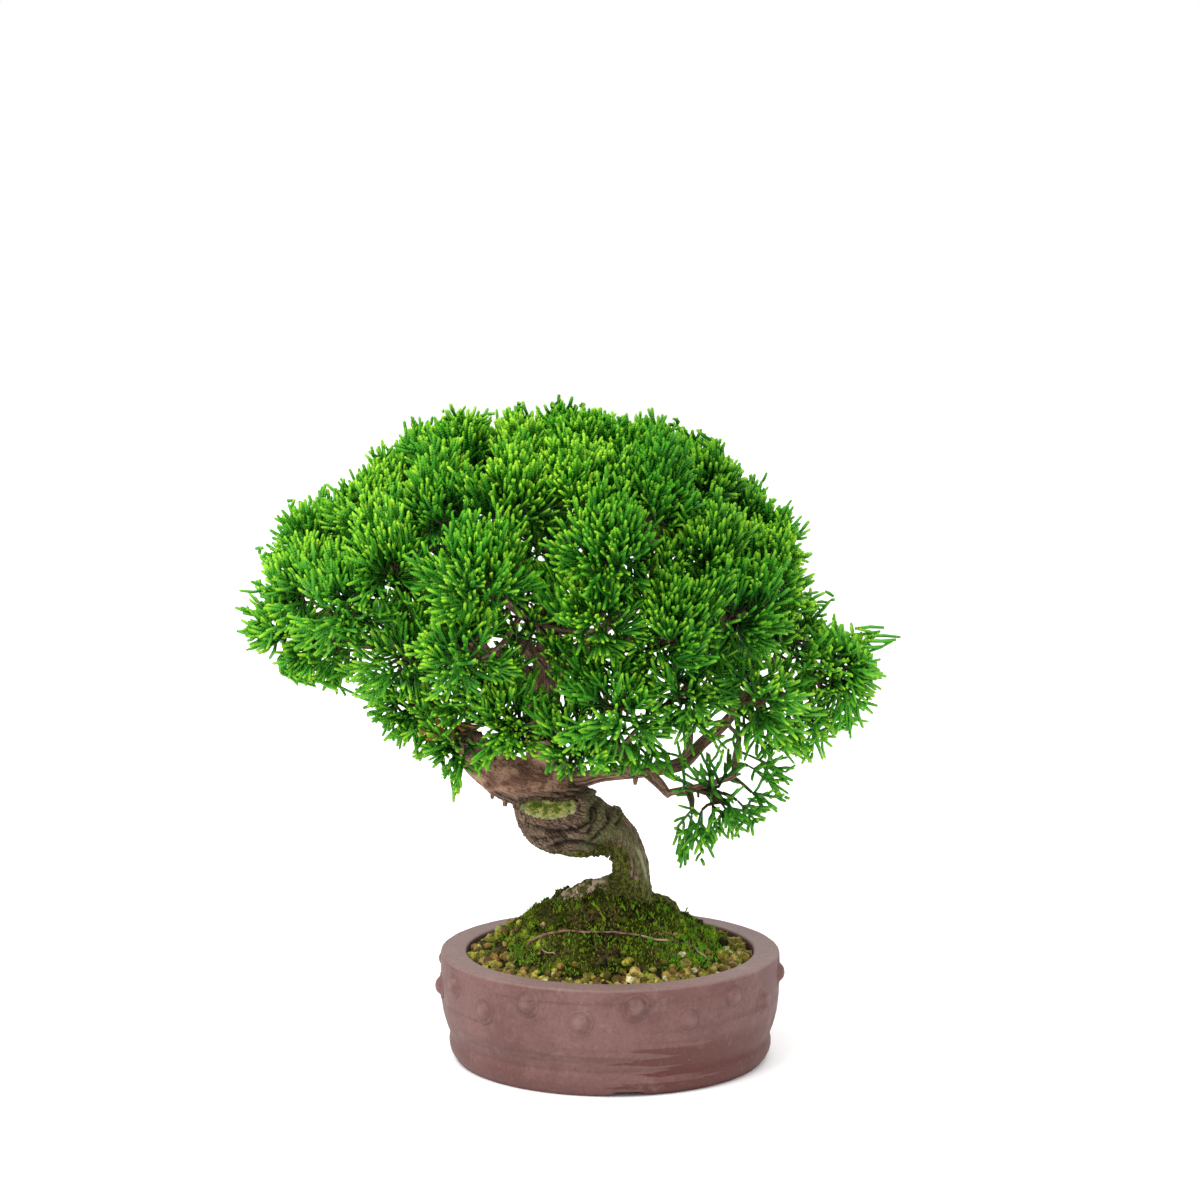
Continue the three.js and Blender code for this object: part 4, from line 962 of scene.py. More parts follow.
def thick_wood():
    """Crown, stem, coil, ledge, wraps, roots and log under one skin, furrowed along the twisted grain."""
    lines = [STEM[:STEM_THICK], LOG, VEIN, LIP, CREASE, *WRAPS, *ROOTS]
    bodies = [sweep(points, 1.5, 24)[:2] for points in lines]
    points, quads = mesh_arrays(remeshed(*joined([*bodies, crown_lump(), ledge_lump()]), SKIN_VOXEL))
    points = relaxed(points, quads, 3)
    normals = point_normals(points, quads)
    grain = twisted_grain(points)
    vein, pale = vein_marks(points, normals)
    ledge, rim = scar_marks(points, normals)
    tinted, bare, red = tint_marks(points)
    lobes = layered(grain * [0.24, 0.24, 0.03], 61, 2)
    furrow = layered(grain * [0.75, 0.75, 0.055] + 9, 62, 2)
    fine = layered(grain * [2.0, 2.0, 0.16] + 31, 63, 2)
    rough = layered(points * 0.55, 64, 2)
    calm = 1 - np.maximum(0.8 * np.maximum(vein, ledge), 0.6 * red)
    lift = (lobes * 0.8 + furrow * 0.75 + fine * 0.34) * calm + rough * 0.32 * calm
    z = points[:, 2]
    ragged = np.clip((-normals[:, 0] - 0.3) * 1.6, 0, 1) * (z < 101) * (z > 84)
    lift += ragged * 0.9 * layered(points * 0.45, 65, 2)
    front = np.clip(-normals[:, 1] * 1.6, 0, 1)
    lift, folded = fold_in(lift, points, front, ledge, lobes, furrow)
    soft = np.where(z < 79, np.clip((z - 74) / 5, 0, 1), 1)
    points = points + normals * (lift * soft)[:, None]
    return points, [quads], {
        "vein": vein, "ledge": ledge, "folded": folded, "rim": rim, "pale": pale, "tinted": tinted,
        "bare": bare, "red": red, "grain": grain,
    }


def slim_wood():
    """Upper stem, limbs, stubs and twigs, each swept on its own and sunk into what it grows from: a route
    goes with the gap between its rings, its number of sides and the depth of its furrows."""
    routes = [(STEM[STEM_THICK - 2:], 2.2, 14, 0.5)]
    routes += [(limb, 2.4, 10, 0.36) for limb in LIMBS]
    routes += [(stub, 1.5, 8, 0.3) for stub in STUBS]
    routes += [(twig, 4.0, 5, 0.12) for twig in TWIGS]
    parts, grains = [], []
    for number, (points, gap, sides, furrows) in enumerate(routes):
        part, blocks, grain = sweep(points, gap, sides, furrows, number + 1)
        parts.append((part, blocks))
        grains.append(grain)
    points, blocks = joined(parts)
    return points, blocks, np.concatenate(grains)


MARKS = ("vein", "ledge", "folded", "rim", "pale", "tinted", "bare")
thick_points, thick_blocks, thick_stored = thick_wood()
slim_points, slim_blocks, slim_grain = slim_wood()
wood_points, wood_blocks = joined([(thick_points, thick_blocks), (slim_points, slim_blocks)])
plain = np.zeros(len(slim_points))
wood_stored = {key: np.concatenate([thick_stored[key], plain]) for key in MARKS}
wood_stored["red"] = np.concatenate([thick_stored["red"], plain + 0.5])
wood_stored["grain"] = np.concatenate([thick_stored["grain"], slim_grain])

BROWN_DARK = (0.024, 0.012, 0.007)
BROWN_LIGHT = (0.44, 0.285, 0.185)
BROWN_FIBRE = (0.62, 0.45, 0.32)
RUST_DARK = (0.06, 0.024, 0.014)
RUST_LIGHT = (0.42, 0.2, 0.13)
RUST_FIBRE = (0.62, 0.42, 0.32)
LOG_DARK = (0.1, 0.038, 0.023)
LOG_LIGHT = (0.68, 0.4, 0.26)
LOG_PIT = (0.03, 0.015, 0.01)
FIBRE_GAP = (0.03, 0.016, 0.009)
PLATE_GAP = (0.016, 0.009, 0.005)
OLIVE_DARK = (0.09, 0.105, 0.025)
OLIVE_LIGHT = (0.24, 0.26, 0.08)
LIVE_DARK = (0.06, 0.066, 0.018)
LIVE_LIGHT = (0.25, 0.26, 0.1)
VEIN_HIGHLIGHT = (0.55, 0.52, 0.32)
FOLD_SHADE = (0.014, 0.008, 0.005)
ALGAE_DARK = (0.022, 0.02, 0.004)
ALGAE_LIGHT = (0.2, 0.22, 0.022)
PEELED_DARK = (0.28, 0.16, 0.1)
PEELED_LIGHT = (1.0, 0.8, 0.58)
SCAR_DARK = (0.24, 0.33, 0.015)
SCAR_LIGHT = (1.0, 0.96, 0.3)
SCAR_GREEN = (0.09, 0.19, 0.01)
SCAR_BROWN = (0.2, 0.13, 0.055)
SCAR_RIM = (0.85, 0.82, 0.42)
bark = Finish("juniper_bark")
where = bark.place()
grain = bark.stored("grain", True)
vein, ledge, folded, rim, pale, tinted, bare = (bark.stored(name) for name in MARKS)
red = bark.stored("red")
strand = bark.noise(bark.stretched(grain, (0.8, 0.8, 0.05)), 1.0, 5.0, 0.65)
fibre = bark.noise(bark.stretched(grain, (3.2, 3.2, 0.14)), 1.0, 4.0, 0.6)
patch = bark.noise(where, 55.0, 4.0)
crumb = bark.noise(where, 800.0, 3.0)
plates = bark.node(
    "TexVoronoi", {"feature": "DISTANCE_TO_EDGE"},
    {"Vector": bark.stretched(grain, (0.42, 0.42, 0.11)), "Scale": 1.0, "Randomness": 1.0},
)
# Fibrous bark, brown, and rustier in patches and on the limbs
brown = bark.blend(bark.step(strand, 0.38, 0.62), BROWN_DARK, BROWN_LIGHT)
brown = bark.blend(bark.step(fibre, 0.48, 0.68) * 0.7, brown, BROWN_FIBRE)
rusty = bark.blend(bark.step(strand, 0.36, 0.62), RUST_DARK, RUST_LIGHT)
rusty = bark.blend(bark.step(fibre, 0.48, 0.68) * 0.6, rusty, RUST_FIBRE)
base = bark.blend(red * 0.8 + bark.step(patch, 0.5, 0.66) * 0.5, brown, rusty)
# The log's smoother, scaly skin with small pits
scaly = bark.step(bark.noise(where, 130.0, 5.0, 0.65), 0.4, 0.6)
smooth = bark.blend(scaly, LOG_DARK, LOG_LIGHT)
pits = bark.step(bark.noise(where, 330.0, 2.0), 0.34, 0.27)
smooth = bark.blend(pits * 0.8, smooth, LOG_PIT)
log = bark.step(red, 0.3, 0.9)
base = bark.blend(log * 0.62, base, smooth)
# Dark gaps between fibres and between plates
base = bark.blend(bark.step(fibre, 0.5, 0.34) * (0.8 - log * 0.5), base, FIBRE_GAP)
base = bark.blend(bark.step(plates, 0.09, 0.01) * (0.45 - log * 0.33), base, PLATE_GAP)
# Olive wraps, the living vein with a painted highlight along one edge, and painted shade in the folds
olive = bark.blend(bark.step(crumb, 0.4, 0.62), OLIVE_DARK, OLIVE_LIGHT)
base = bark.blend(tinted * (0.4 + bark.step(patch, 0.36, 0.6) * 0.5), base, olive)
live = bark.blend(bark.step(fibre, 0.36, 0.62), LIVE_DARK, LIVE_LIGHT)
base = bark.blend(vein * 0.9, base, live)
base = bark.blend(pale * 0.85, base, VEIN_HIGHLIGHT)
# Painted shade, near black, in the folds and the knot hole
base = bark.blend(folded * 0.9, base, FOLD_SHADE)
# Algae low down, higher on the left, and bark peeled in flakes off the bare root
side, low = (bark.node("SeparateXYZ", None, {0: where}, output=axis) for axis in ("X", "Z"))
left = bark.step(side, AXIS[0] + 0.011, AXIS[0] + 0.006) * bark.step(low, 0.112, 0.1) * 0.75
wet = left + low * -28.0 + patch * 1.5 + bark.noise(where, 230.0, 4.0) * 1.1 + 1.62
mossy = bark.step(wet, 0.12, 0.4)
green = bark.blend(bark.step(crumb * 0.5 + fibre * 0.5, 0.42, 0.6), ALGAE_DARK, ALGAE_LIGHT)
flaked = bark.step(bark.noise(where, 150.0, 4.0, 0.6), 0.46, 0.54)
peeled = bark.blend(bark.step(fibre, 0.4, 0.56), PEELED_DARK, PEELED_LIGHT)
base = bark.blend(bare * flaked * 0.85, base, peeled)
base = bark.blend(mossy * (1.0 - vein * 0.5) * (1.0 - bare * flaked), base, green)
# The scar on the ledge: yellow wood with green and brown patches, and its pale rim
scarred = bark.step(bark.noise(where, 230.0, 5.0, 0.7), 0.42, 0.56)
scar = bark.blend(scarred, SCAR_DARK, SCAR_LIGHT)
scar = bark.blend(bark.step(bark.noise(where, 110.0, 3.0), 0.55, 0.62) * 0.7, scar, SCAR_GREEN)
scar = bark.blend(bark.step(bark.noise(where, 140.0, 3.0), 0.42, 0.35) * 0.5, scar, SCAR_BROWN)
base = bark.blend(ledge, base, scar)
base = bark.blend(rim, base, SCAR_RIM)
relief = (strand * 1.0 + fibre * 0.6) * (1.0 - log * 0.5) + crumb * 0.2
relief = relief + bark.step(plates, 0.0, 0.14) * (0.5 - log * 0.4)
relief = relief + scaly * log * 0.6
bark_material = bark.surface(
    Base_Color=base, Roughness=bark.step(fibre, 0.2, 0.8) * 0.15 + 0.72, Specular_IOR_Level=0.3,
    Normal=bark.bump(relief, 0.0018, 0.95),
)
wood = make_mesh("juniper_wood", wood_points * MM + AXIS, wood_blocks, wood_stored)
add_piece("juniper_wood", wood, bark_material, "bark", "trunk")

# Foliage: 51 bunches of cord-like shoots, each on its own twig. A shoot is a closed cord of scale
# leaves about 1.5 mm thick that forks again and again; its tip is fresh yellow-green, its foot dark.

# Tips of the shoots that stand out past the rest, for each bunch counted from 0
LEADERS = {
    0: [(-184, 0, 214)],
    1: [(-171, -20, 255)],
    2: [(-161, 20, 276)],
    4: [(-98, 10, 317)],
    5: [(-80, -15, 322)],
    6: [(-27, 14, 327), (-46, 18, 324)],
    7: [(-14, -13, 326)],
    9: [(33, -8, 317), (52, -15, 305)],
    11: [(94, -16, 252)],
    12: [(110, 8, 229)],
    13: [(140, -10, 211), (133, -8, 215)],
    15: [(84, -17, 134), (45, -14, 105)],
    16: [(-76, -30, 143)],
    31: [(69, -72, 247)],
}
# How airy a bunch is, from 0 (dense) to a little over 1: most at the crown's lower edge and its back
AIRY = {
    0: 0.6, 1: 0.4, 12: 0.6, 13: 0.75, 14: 1.1, 15: 1.2, 16: 0.9, 17: 0.8, 18: 0.4, 26: 0.3, 27: 0.6,
    32: 0.9, 33: 0.5, 34: 0.5, 35: 0.4, 36: 0.6, 43: 0.5, 44: 0.6, 45: 0.4, 47: 0.8, 50: 1,
}
# Tufts that hang or stand off the limbs beside each bunch: a tuft's middle, then its heading
STRAYS = {
    0: [(-152, -6, 204, -0.6, -0.4, -0.2), (-143, -12, 199, -0.4, -0.5, -0.3),
        (-134, 2, 198, -0.2, -0.4, -0.4), (-147, 12, 200, -0.6, 0.2, -0.3),
        (-126, -10, 201, -0.1, -0.5, -0.2), (-138, 14, 206, -0.3, 0.4, 0.5),
        (-155, -9, 199, -0.4, -0.15, -0.3), (-139, -9, 195, -0.2, -0.15, -0.4),
        (-164, 1, 233, -0.8, -0.15, 0.3), (-171, 1, 213, -0.9, -0.15, 0.1),
        (-150, -14, 212, -0.2, -0.8, 0), (-172, 0, 222, -0.9, 0, 0.2), (-172, -5, 212, -0.9, 0, 0)],
    1: [(-159, -9, 253, -0.7, -0.15, 0.5)],
    2: [(-157, 0, 261, -0.6, 0, 0.6), (-154, 5, 268, -0.5, 0, 0.7), (-160, 5, 268, -0.7, 0, 0.5)],
    3: [(-129, -8, 269, -0.5, -0.2, 0.8), (-111, 0, 294, -0.4, 0, 0.8), (-130, 0, 278, -0.5, -0.1, 0.8)],
    4: [(-96, 0, 312, -0.2, 0, 1)],
    5: [(-82, -10, 316, -0.1, 0, 1), (-72, -10, 318, 0, 0, 1)],
    7: [(5, -13, 311, 0, -0.3, 1), (-25, -12, 316, 0, 0, 1)],
    9: [(36, 0, 304, 0.3, 0, 0.9), (50, -5, 303, 0.5, 0, 0.9), (42, -5, 308, 0.3, 0, 1)],
    10: [(82, 4, 266, 0.6, 0, 0.8), (71, 0, 278, 0.4, 0, 0.8), (70, 5, 282, 0.5, 0, 0.8),
        (84, 5, 266, 0.7, 0, 0.6), (87, 0, 272, 0.7, 0, 0.7)],
    11: [(86, -14, 216, 0.2, -0.6, 0.4), (84, 0, 262, 0.5, 0, 0.7), (90, -5, 255, 0.8, -0.1, 0.5),
        (92, 0, 262, 0.8, 0, 0.5)],
    12: [(93, -4, 203, 0.3, -0.6, 0.3), (96, 0, 236, 0.8, 0, 0.4)],
    13: [(121, -8, 194, 0.8, -0.2, 0), (124, -4, 203, 0.9, -0.1, 0.3), (110, -16, 190, 0.2, -0.7, 0.2),
        (98, -22, 204, 0.2, -0.7, 0.4), (106, -14, 200, 0.3, -0.7, 0.3), (127, -12, 200, 0.6, -0.15, 0.2),
        (121, -8, 186, 0.7, -0.2, -0.4), (127, -4, 190, 0.9, -0.2, -0.1), (86, -14, 190, 0.1, -0.8, 0.2),
        (84, -20, 200, 0, -0.8, 0.2), (92, -18, 190, 0.2, -0.8, 0)],
    14: [(92, -8, 166, 0.3, -0.3, -0.6), (84, -12, 172, 0.1, -0.5, -0.4), (103, -10, 174, 0.5, -0.4, -0.2),
        (84, -16, 163, 0.3, -0.7, -0.3), (104, -8, 166, 0.7, -0.3, -0.4), (110, -4, 168, 0.9, -0.2, -0.1)],
    15: [(74, -14, 162, 0.3, -0.3, -0.6), (80, -10, 148, 0.7, -0.2, -0.3), (71, -18, 123, 0.5, -0.3, -0.5),
        (33, -14, 130, -0.6, -0.4, -0.1), (76, -14, 144, 0.5, -0.7, -0.2),
        (35, -16, 121, -0.5, -0.5, -0.5), (43, -18, 118, -0.2, -0.5, -0.7),
        (64, -16, 121, 0.4, -0.5, -0.5), (78, -12, 128, 0.6, -0.3, -0.5), (34, -14, 142, -0.3, -0.5, 0.3),
        (38, -14, 112, -0.2, -0.3, -0.9)],
    16: [(-90, -35, 180, -0.3, -0.7, 0.2), (-76, -27, 154, 0, -0.7, -0.6),
        (-83, -24, 156, -0.2, -0.7, -0.5), (-90, -23, 163, -0.3, -0.7, -0.4),
        (-74, -24, 146, -0.2, -0.5, -0.8), (-68, -22, 145, 0.2, -0.5, -0.8)],
    17: [(-108, -10, 173, -0.5, -0.2, -0.2), (-97, -12, 171, -0.2, -0.3, -0.4),
        (-103, -16, 165, -0.5, -0.7, -0.2), (-114, -8, 175, -0.7, -0.2, -0.3),
        (-90, -20, 186, 0, -0.8, 0.1)],
    18: [(-111, -38, 237, -0.2, -0.7, 0.5), (-114, -50, 252, -0.2, -0.5, 0.9),
        (-118, -42, 222, -0.3, -0.7, 0.5)],
    19: [(-103, -50, 249, -0.2, -0.3, 0.6), (-99, -52, 241, -0.1, -0.7, 0.5)],
    21: [(-38, -60, 258, 0, -0.6, 0.8), (-28, -58, 268, 0.1, -0.5, 0.9)],
    24: [(28, -70, 256, 0.1, -0.5, 0.9)],
    25: [(-42, -72, 246, 0.2, -0.6, 0.8), (-66, -84, 240, -0.1, -0.6, 0.8)],
    26: [(-48, -62, 206, 0.1, -0.8, 0.2), (-49, -64, 236, 0, -0.8, 0.6), (-86, -62, 240, -0.2, -0.6, 0.7),
        (-76, -66, 248, -0.1, -0.6, 0.8), (-62, -70, 236, 0, -0.7, 0.6), (-43, -56, 240, 0, -0.7, 0.5)],
    27: [(-114, -24, 226, -0.4, -0.5, 0.5), (-124, -20, 214, -0.5, -0.5, 0.5),
        (-80, -46, 188, -0.1, -0.8, 0.2), (-92, -56, 228, -0.2, -0.6, 0.7),
        (-84, -58, 216, -0.1, -0.8, 0.4)],
    28: [(-24, -68, 252, -0.1, -0.6, 0.8), (14, -72, 260, 0, -0.5, 0.9)],
    29: [(-26, -62, 212, -0.2, -0.8, 0.3), (-32, -66, 244, 0.1, -0.8, 0.6),
        (-36, -62, 228, 0.1, -0.8, 0.5), (-16, -58, 224, 0.1, -0.8, 0.4), (0, -60, 232, 0, -0.7, 0.5),
        (-46, -60, 222, -0.1, -0.8, 0.4), (-25, -60, 216, 0, -0.8, 0.3)],
    30: [(14, -72, 212, 0.1, -0.8, 0.2), (2, -62, 218, 0, -0.8, 0.5), (30, -60, 220, 0.1, -0.8, 0.4),
        (14, -76, 248, 0, -0.6, 0.8)],
    31: [(46, -66, 246, 0.1, -0.5, 0.9)],
    32: [(74, -38, 175, 0.3, -0.6, 0.1), (77, -34, 216, 0.2, -0.7, 0.5), (70, -34, 194, 0.1, -0.7, 0.3),
        (68, -28, 178, 0.2, -0.7, 0.2), (64, -30, 172, 0.1, -0.8, 0)],
    33: [(22, -32, 157, 0.2, -0.5, -0.5), (10, -42, 160, 0, -0.6, -0.4), (4, -58, 174, 0, -0.8, 0.3),
        (16, -58, 175, 0.1, -0.8, 0.3), (-14, -66, 200, -0.2, -0.8, 0.2), (-4, -54, 199, 0, -0.8, 0.5),
        (-5, -50, 186, 0, -0.7, 0.3), (7, -50, 184, 0.1, -0.7, 0.2), (-7, -60, 205, 0, -0.8, 0.2),
        (-6, -45, 157, 0, -0.7, -0.3), (2, -42, 157, 0, -0.7, -0.3)],
    34: [(-17, -50, 160, 0.1, -0.6, -0.4), (-28, -52, 162, -0.1, -0.6, -0.3),
        (-22, -50, 194, 0, -0.7, 0.4), (-19, -45, 172, 0, -0.7, -0.1), (14, -34, 158, 0, -0.7, -0.3)],
    35: [(-66, -52, 190, -0.1, -0.8, 0.4), (-74, -38, 179, -0.4, -0.7, -0.2),
        (-50, -42, 174, 0, -0.7, 0.1), (-28, -50, 184, 0.2, -0.8, 0.3), (-67, -50, 203, 0, -0.7, 0.4),
        (-60, -48, 200, 0.1, -0.7, 0.4), (-44, -45, 176, 0, -0.7, 0.1), (-53, -45, 183, 0, -0.7, 0.3),
        (-72, -40, 197, -0.1, -0.8, 0.3), (-47, -45, 168, 0, -0.7, 0), (-40, -46, 171, 0.2, -0.7, -0.1),
        (-52, -45, 166, -0.1, -0.8, -0.1), (-44, -46, 165, 0, -0.8, -0.1), (-45, -52, 206, 0, -0.8, 0.2)],
    36: [(46, -36, 170, 0.3, -0.5, -0.1), (28, -56, 177, 0.1, -0.8, 0.3), (40, -54, 178, 0.1, -0.8, 0.3),
        (38, -44, 190, 0.1, -0.7, 0.4), (18, -60, 209, 0, -0.8, 0.3)],
}
# Old shoots inside the crown that have dried to rust brown: for each bunch, a place, then a heading
DRIED = {
    26: [(-58, -48, 240, -0.3, -0.7, 0.4)],
    29: [(-32, -46, 222, 0.1, -0.6, 0.8), (-27, -44, 212, 0.4, -0.5, -0.6)],
    35: [(-80, -36, 166, -0.4, -0.6, 0.5), (-76, -34, 174, 0.3, -0.7, -0.3)],
}
SHOOT_RADIUS = 0.98
# The crown's outline seen from the photo's place: how far it reaches from its middle in x and z, every
# 10 degrees from below on the right, over the top, to below on the left
CAMERA_PLACE = np.array([-5.037, -1376.86, 389.52])
CROWN_MIDDLE = np.array([-18.0, 200.0])
OUTLINE_FIRST, OUTLINE_STEP = -50, 10
OUTLINE = [
    118, 125, 125, 128, 151, 152, 126, 123, 129, 127, 125, 128, 124, 122, 124, 126, 130, 139, 139, 141, 157,
    162, 166, 157, 110, 102, 92, 86, 90,
]
# Where the crown's underside stops over the bare log and the trunk: x and lowest z
UNDERSIDE = [(-73, 138), (-60, 140), (-57, 149), (-34, 149), (-31, 135), (-15, 135), (-13, 141), (30, 141)]
UP = np.array([0.0, 0, 1])
# Cords of each kind: at shares of their run, how thick they are for their radius, and how fresh
MAIN_STATIONS = (0, 0.34, 0.7, 0.95, 1)
MAIN_PROFILE = (0.72, 0.93, 1.0, 0.8, 0.0)
MAIN_FRESH = (0, 0.05, 0.16, 0.8, 1)
MAIN = (MAIN_PROFILE, MAIN_STATIONS, MAIN_FRESH)
SIDE_STATIONS = (0, 0.46, 0.92, 1)
SIDE_PROFILE = (0.74, 0.98, 0.82, 0.0)
SIDE_FRESH = (0.04, 0.16, 0.85, 1)
WOOD_STATIONS = (0, 0.5, 0.97, 1)
WOOD_FRESH = (0, 0, 0, 0)
BRANCHLETS = 6
DRY_FAN = 5
STORED = ("fresh", "tone", "depth", "woody", "run", "dried")


def cords(routes, radii, sides):
    """Many closed cords: round each middle line (n, stations, 3) go rings of so many sides at the given
    radii, square to the line; the first ring has a flat cap and the last station is a pole."""
    count, stations = routes.shape[:2]
    along = unit(np.gradient(routes, axis=1))
    other = np.where(np.abs(along[:, :1, 2:]) < 0.8, [[[0.0, 0, 1]]], [[[1.0, 0, 0]]])
    first = unit(np.cross(along, other))
    second = np.cross(along, first)
    around = np.linspace(0, 2 * math.pi, sides, endpoint=False)[:, None]
    rings = routes[:, :-1, None] + radii[:, :-1, None, None] * (
        np.cos(around) * first[:, :-1, None] + np.sin(around) * second[:, :-1, None]
    )
    points = np.concatenate([rings.reshape(count, -1, 3), routes[:, -1:]], axis=1)
    size = points.shape[1]
    column = np.arange(sides)
    last = (stations - 2) * sides
    fan = np.stack([last + column, last + (column + 1) % sides, np.full(sides, size - 1)], 1)
    blocks = [grid_quads(stations - 1, sides), fan, column[::-1][None]]
    starts = (np.arange(count) * size)[:, None, None]
    blocks = [(block[None] + starts).reshape(-1, block.shape[1]) for block in blocks]
    station = np.append(np.repeat(np.arange(stations - 1), sides), stations - 1)
    return points.reshape(-1, 3), blocks, station


def bent(starts, headings, ends, arrivals, shares):
    """Curves that leave each start along its heading and arrive at its end along another: a cubic whose
    two inner handles lie a third of the way out along those headings, at the given shares of its run."""
    t = np.asarray(shares, float)[..., None]
    reach = np.linalg.norm(ends - starts, axis=1)[:, None]
    near, far = starts + headings * reach * 0.36, ends - arrivals * reach * 0.36
    near, far, first, last = (part[:, None] for part in (near, far, starts, ends))
    return first * (1 - t) ** 3 + near * 3 * t * (1 - t) ** 2 + far * 3 * t ** 2 * (1 - t) + last * t ** 3


def cap_directions(count, widest, turn, axis):
    """Directions spread evenly over a cap round an axis: the height falls evenly while the bearing turns
    by the golden angle."""
    height = 1 - (1 - math.cos(widest)) * (np.arange(count) + 0.5) / count
    bearing = np.arange(count) * math.pi * (3 - 5 ** 0.5) + turn
    flat = np.sqrt(1 - height ** 2)
    other = np.array([0.0, 0, 1]) if abs(axis[2]) < 0.9 else np.array([1.0, 0, 0])
    first = unit(np.cross(axis, other))
    second = np.cross(axis, first)
    level = (flat * np.cos(bearing))[:, None] * first + (flat * np.sin(bearing))[:, None] * second
    return level + height[:, None] * axis


def room(index, hub, directions):
    """How far each direction from the hub may go before it is nearer to another bunch's share."""
    others = np.arange(len(BUNCHES)) != index
    apart = MIDDLES[others] - MIDDLES[index]
    level = (MIDDLES[others] ** 2).sum(1) - (MIDDLES[index] ** 2).sum()
    level = level - SIZES[others] ** 2 + SIZES[index] ** 2
    speed = 2 * directions @ apart.T
    left = level - 2 * apart @ hub
    limit = np.where(speed > 1e-6, left / np.where(speed > 1e-6, speed, 1), 1e3)
    return limit.min(1)


def side_shoots(mains, near, far, count, rng, reach, spread):
    """Where side shoots leave main shoots: at a share of the run, leaning out on alternate sides, and
    curving back toward the main shoot's own heading."""
    owner = np.repeat(np.arange(len(mains)), count)
    share = (np.tile(np.arange(count), len(mains)) + rng.uniform(0.1, 0.9, len(owner))) / count
    share = near + (far - near) * share
    stations = mains.shape[1] - 1
    low = np.minimum((share * stations).astype(int), stations - 2)
    part = (share * stations - low)[:, None]
    starts = mains[owner, low] * (1 - part) + mains[owner, low + 1] * part
    heading = unit(mains[owner, low + 1] - mains[owner, low])
    plane = unit(rng.normal(size=(len(mains), 3)))[owner]
    out = unit(np.cross(heading, plane)) * np.where(np.arange(len(owner)) % 2, 1, -1)[:, None]
    leave = unit(heading * 0.75 + out * spread + rng.normal(0, 0.12, out.shape))
    arrive = unit(leave * 0.45 + heading * 0.8 + UP * 0.15)
    length = reach * rng.uniform(0.55, 1.3, len(owner)) * (1.25 - 0.5 * share)
    ends = starts + unit(leave + arrive) * length[:, None]
    return owner, starts, leave, ends, arrive


def kept_near(index, hub, ends):
    """Ends drawn back along their line from the hub to a little past where the bunch's own room stops."""
    offset = ends - hub
    away = np.linalg.norm(offset, axis=1)
    limit = room(index, hub, offset / away[:, None]) + 9
    return hub + offset * np.minimum(1, np.maximum(limit, 3) / away)[:, None]


def seen(points):
    """Where points appear, in x and z, on the upright plane through the pot's axis, from the photo's
    place: moved toward the line of sight's foot by how much nearer or farther they lie."""
    nearer = -CAMERA_PLACE[1] / (points[:, 1] - CAMERA_PLACE[1])
    return CAMERA_PLACE[[0, 2]] + (points[:, [0, 2]] - CAMERA_PLACE[[0, 2]]) * nearer[:, None]


def drawn_in(ends, margin, rng):
    """Ends outside the crown's outline by more than a margin and a chance of their own, moved back."""
    offset = seen(ends) - CROWN_MIDDLE
    turn = (np.degrees(np.arctan2(offset[:, 1], offset[:, 0])) - OUTLINE_FIRST) % 360
    angles = np.arange(len(OUTLINE)) * OUTLINE_STEP
    limit = np.interp(turn, angles, OUTLINE, right=300) + margin + rng.uniform(-7, 5, len(ends))
    share = np.minimum(1, limit / np.linalg.norm(offset, axis=1))[:, None]
    inside = ends.copy()
    inside[:, [0, 2]] += offset * (share - 1)
    return inside


def hangs_low(ends):
    """Which ends would hang in front of the bare log or into the open space beside the trunk."""
    x, z = seen(ends).T
    places, heights = np.array(UNDERSIDE, float).T
    return z < np.interp(x, places, heights, left=0, right=0)


def places_beside(rows, index):
    """Places and headings, one row each, that a table lists for a bunch."""
    flat = np.array(rows.get(index, []), float).reshape(-1, 2, 3)
    return flat[:, 0], unit(flat[:, 1])


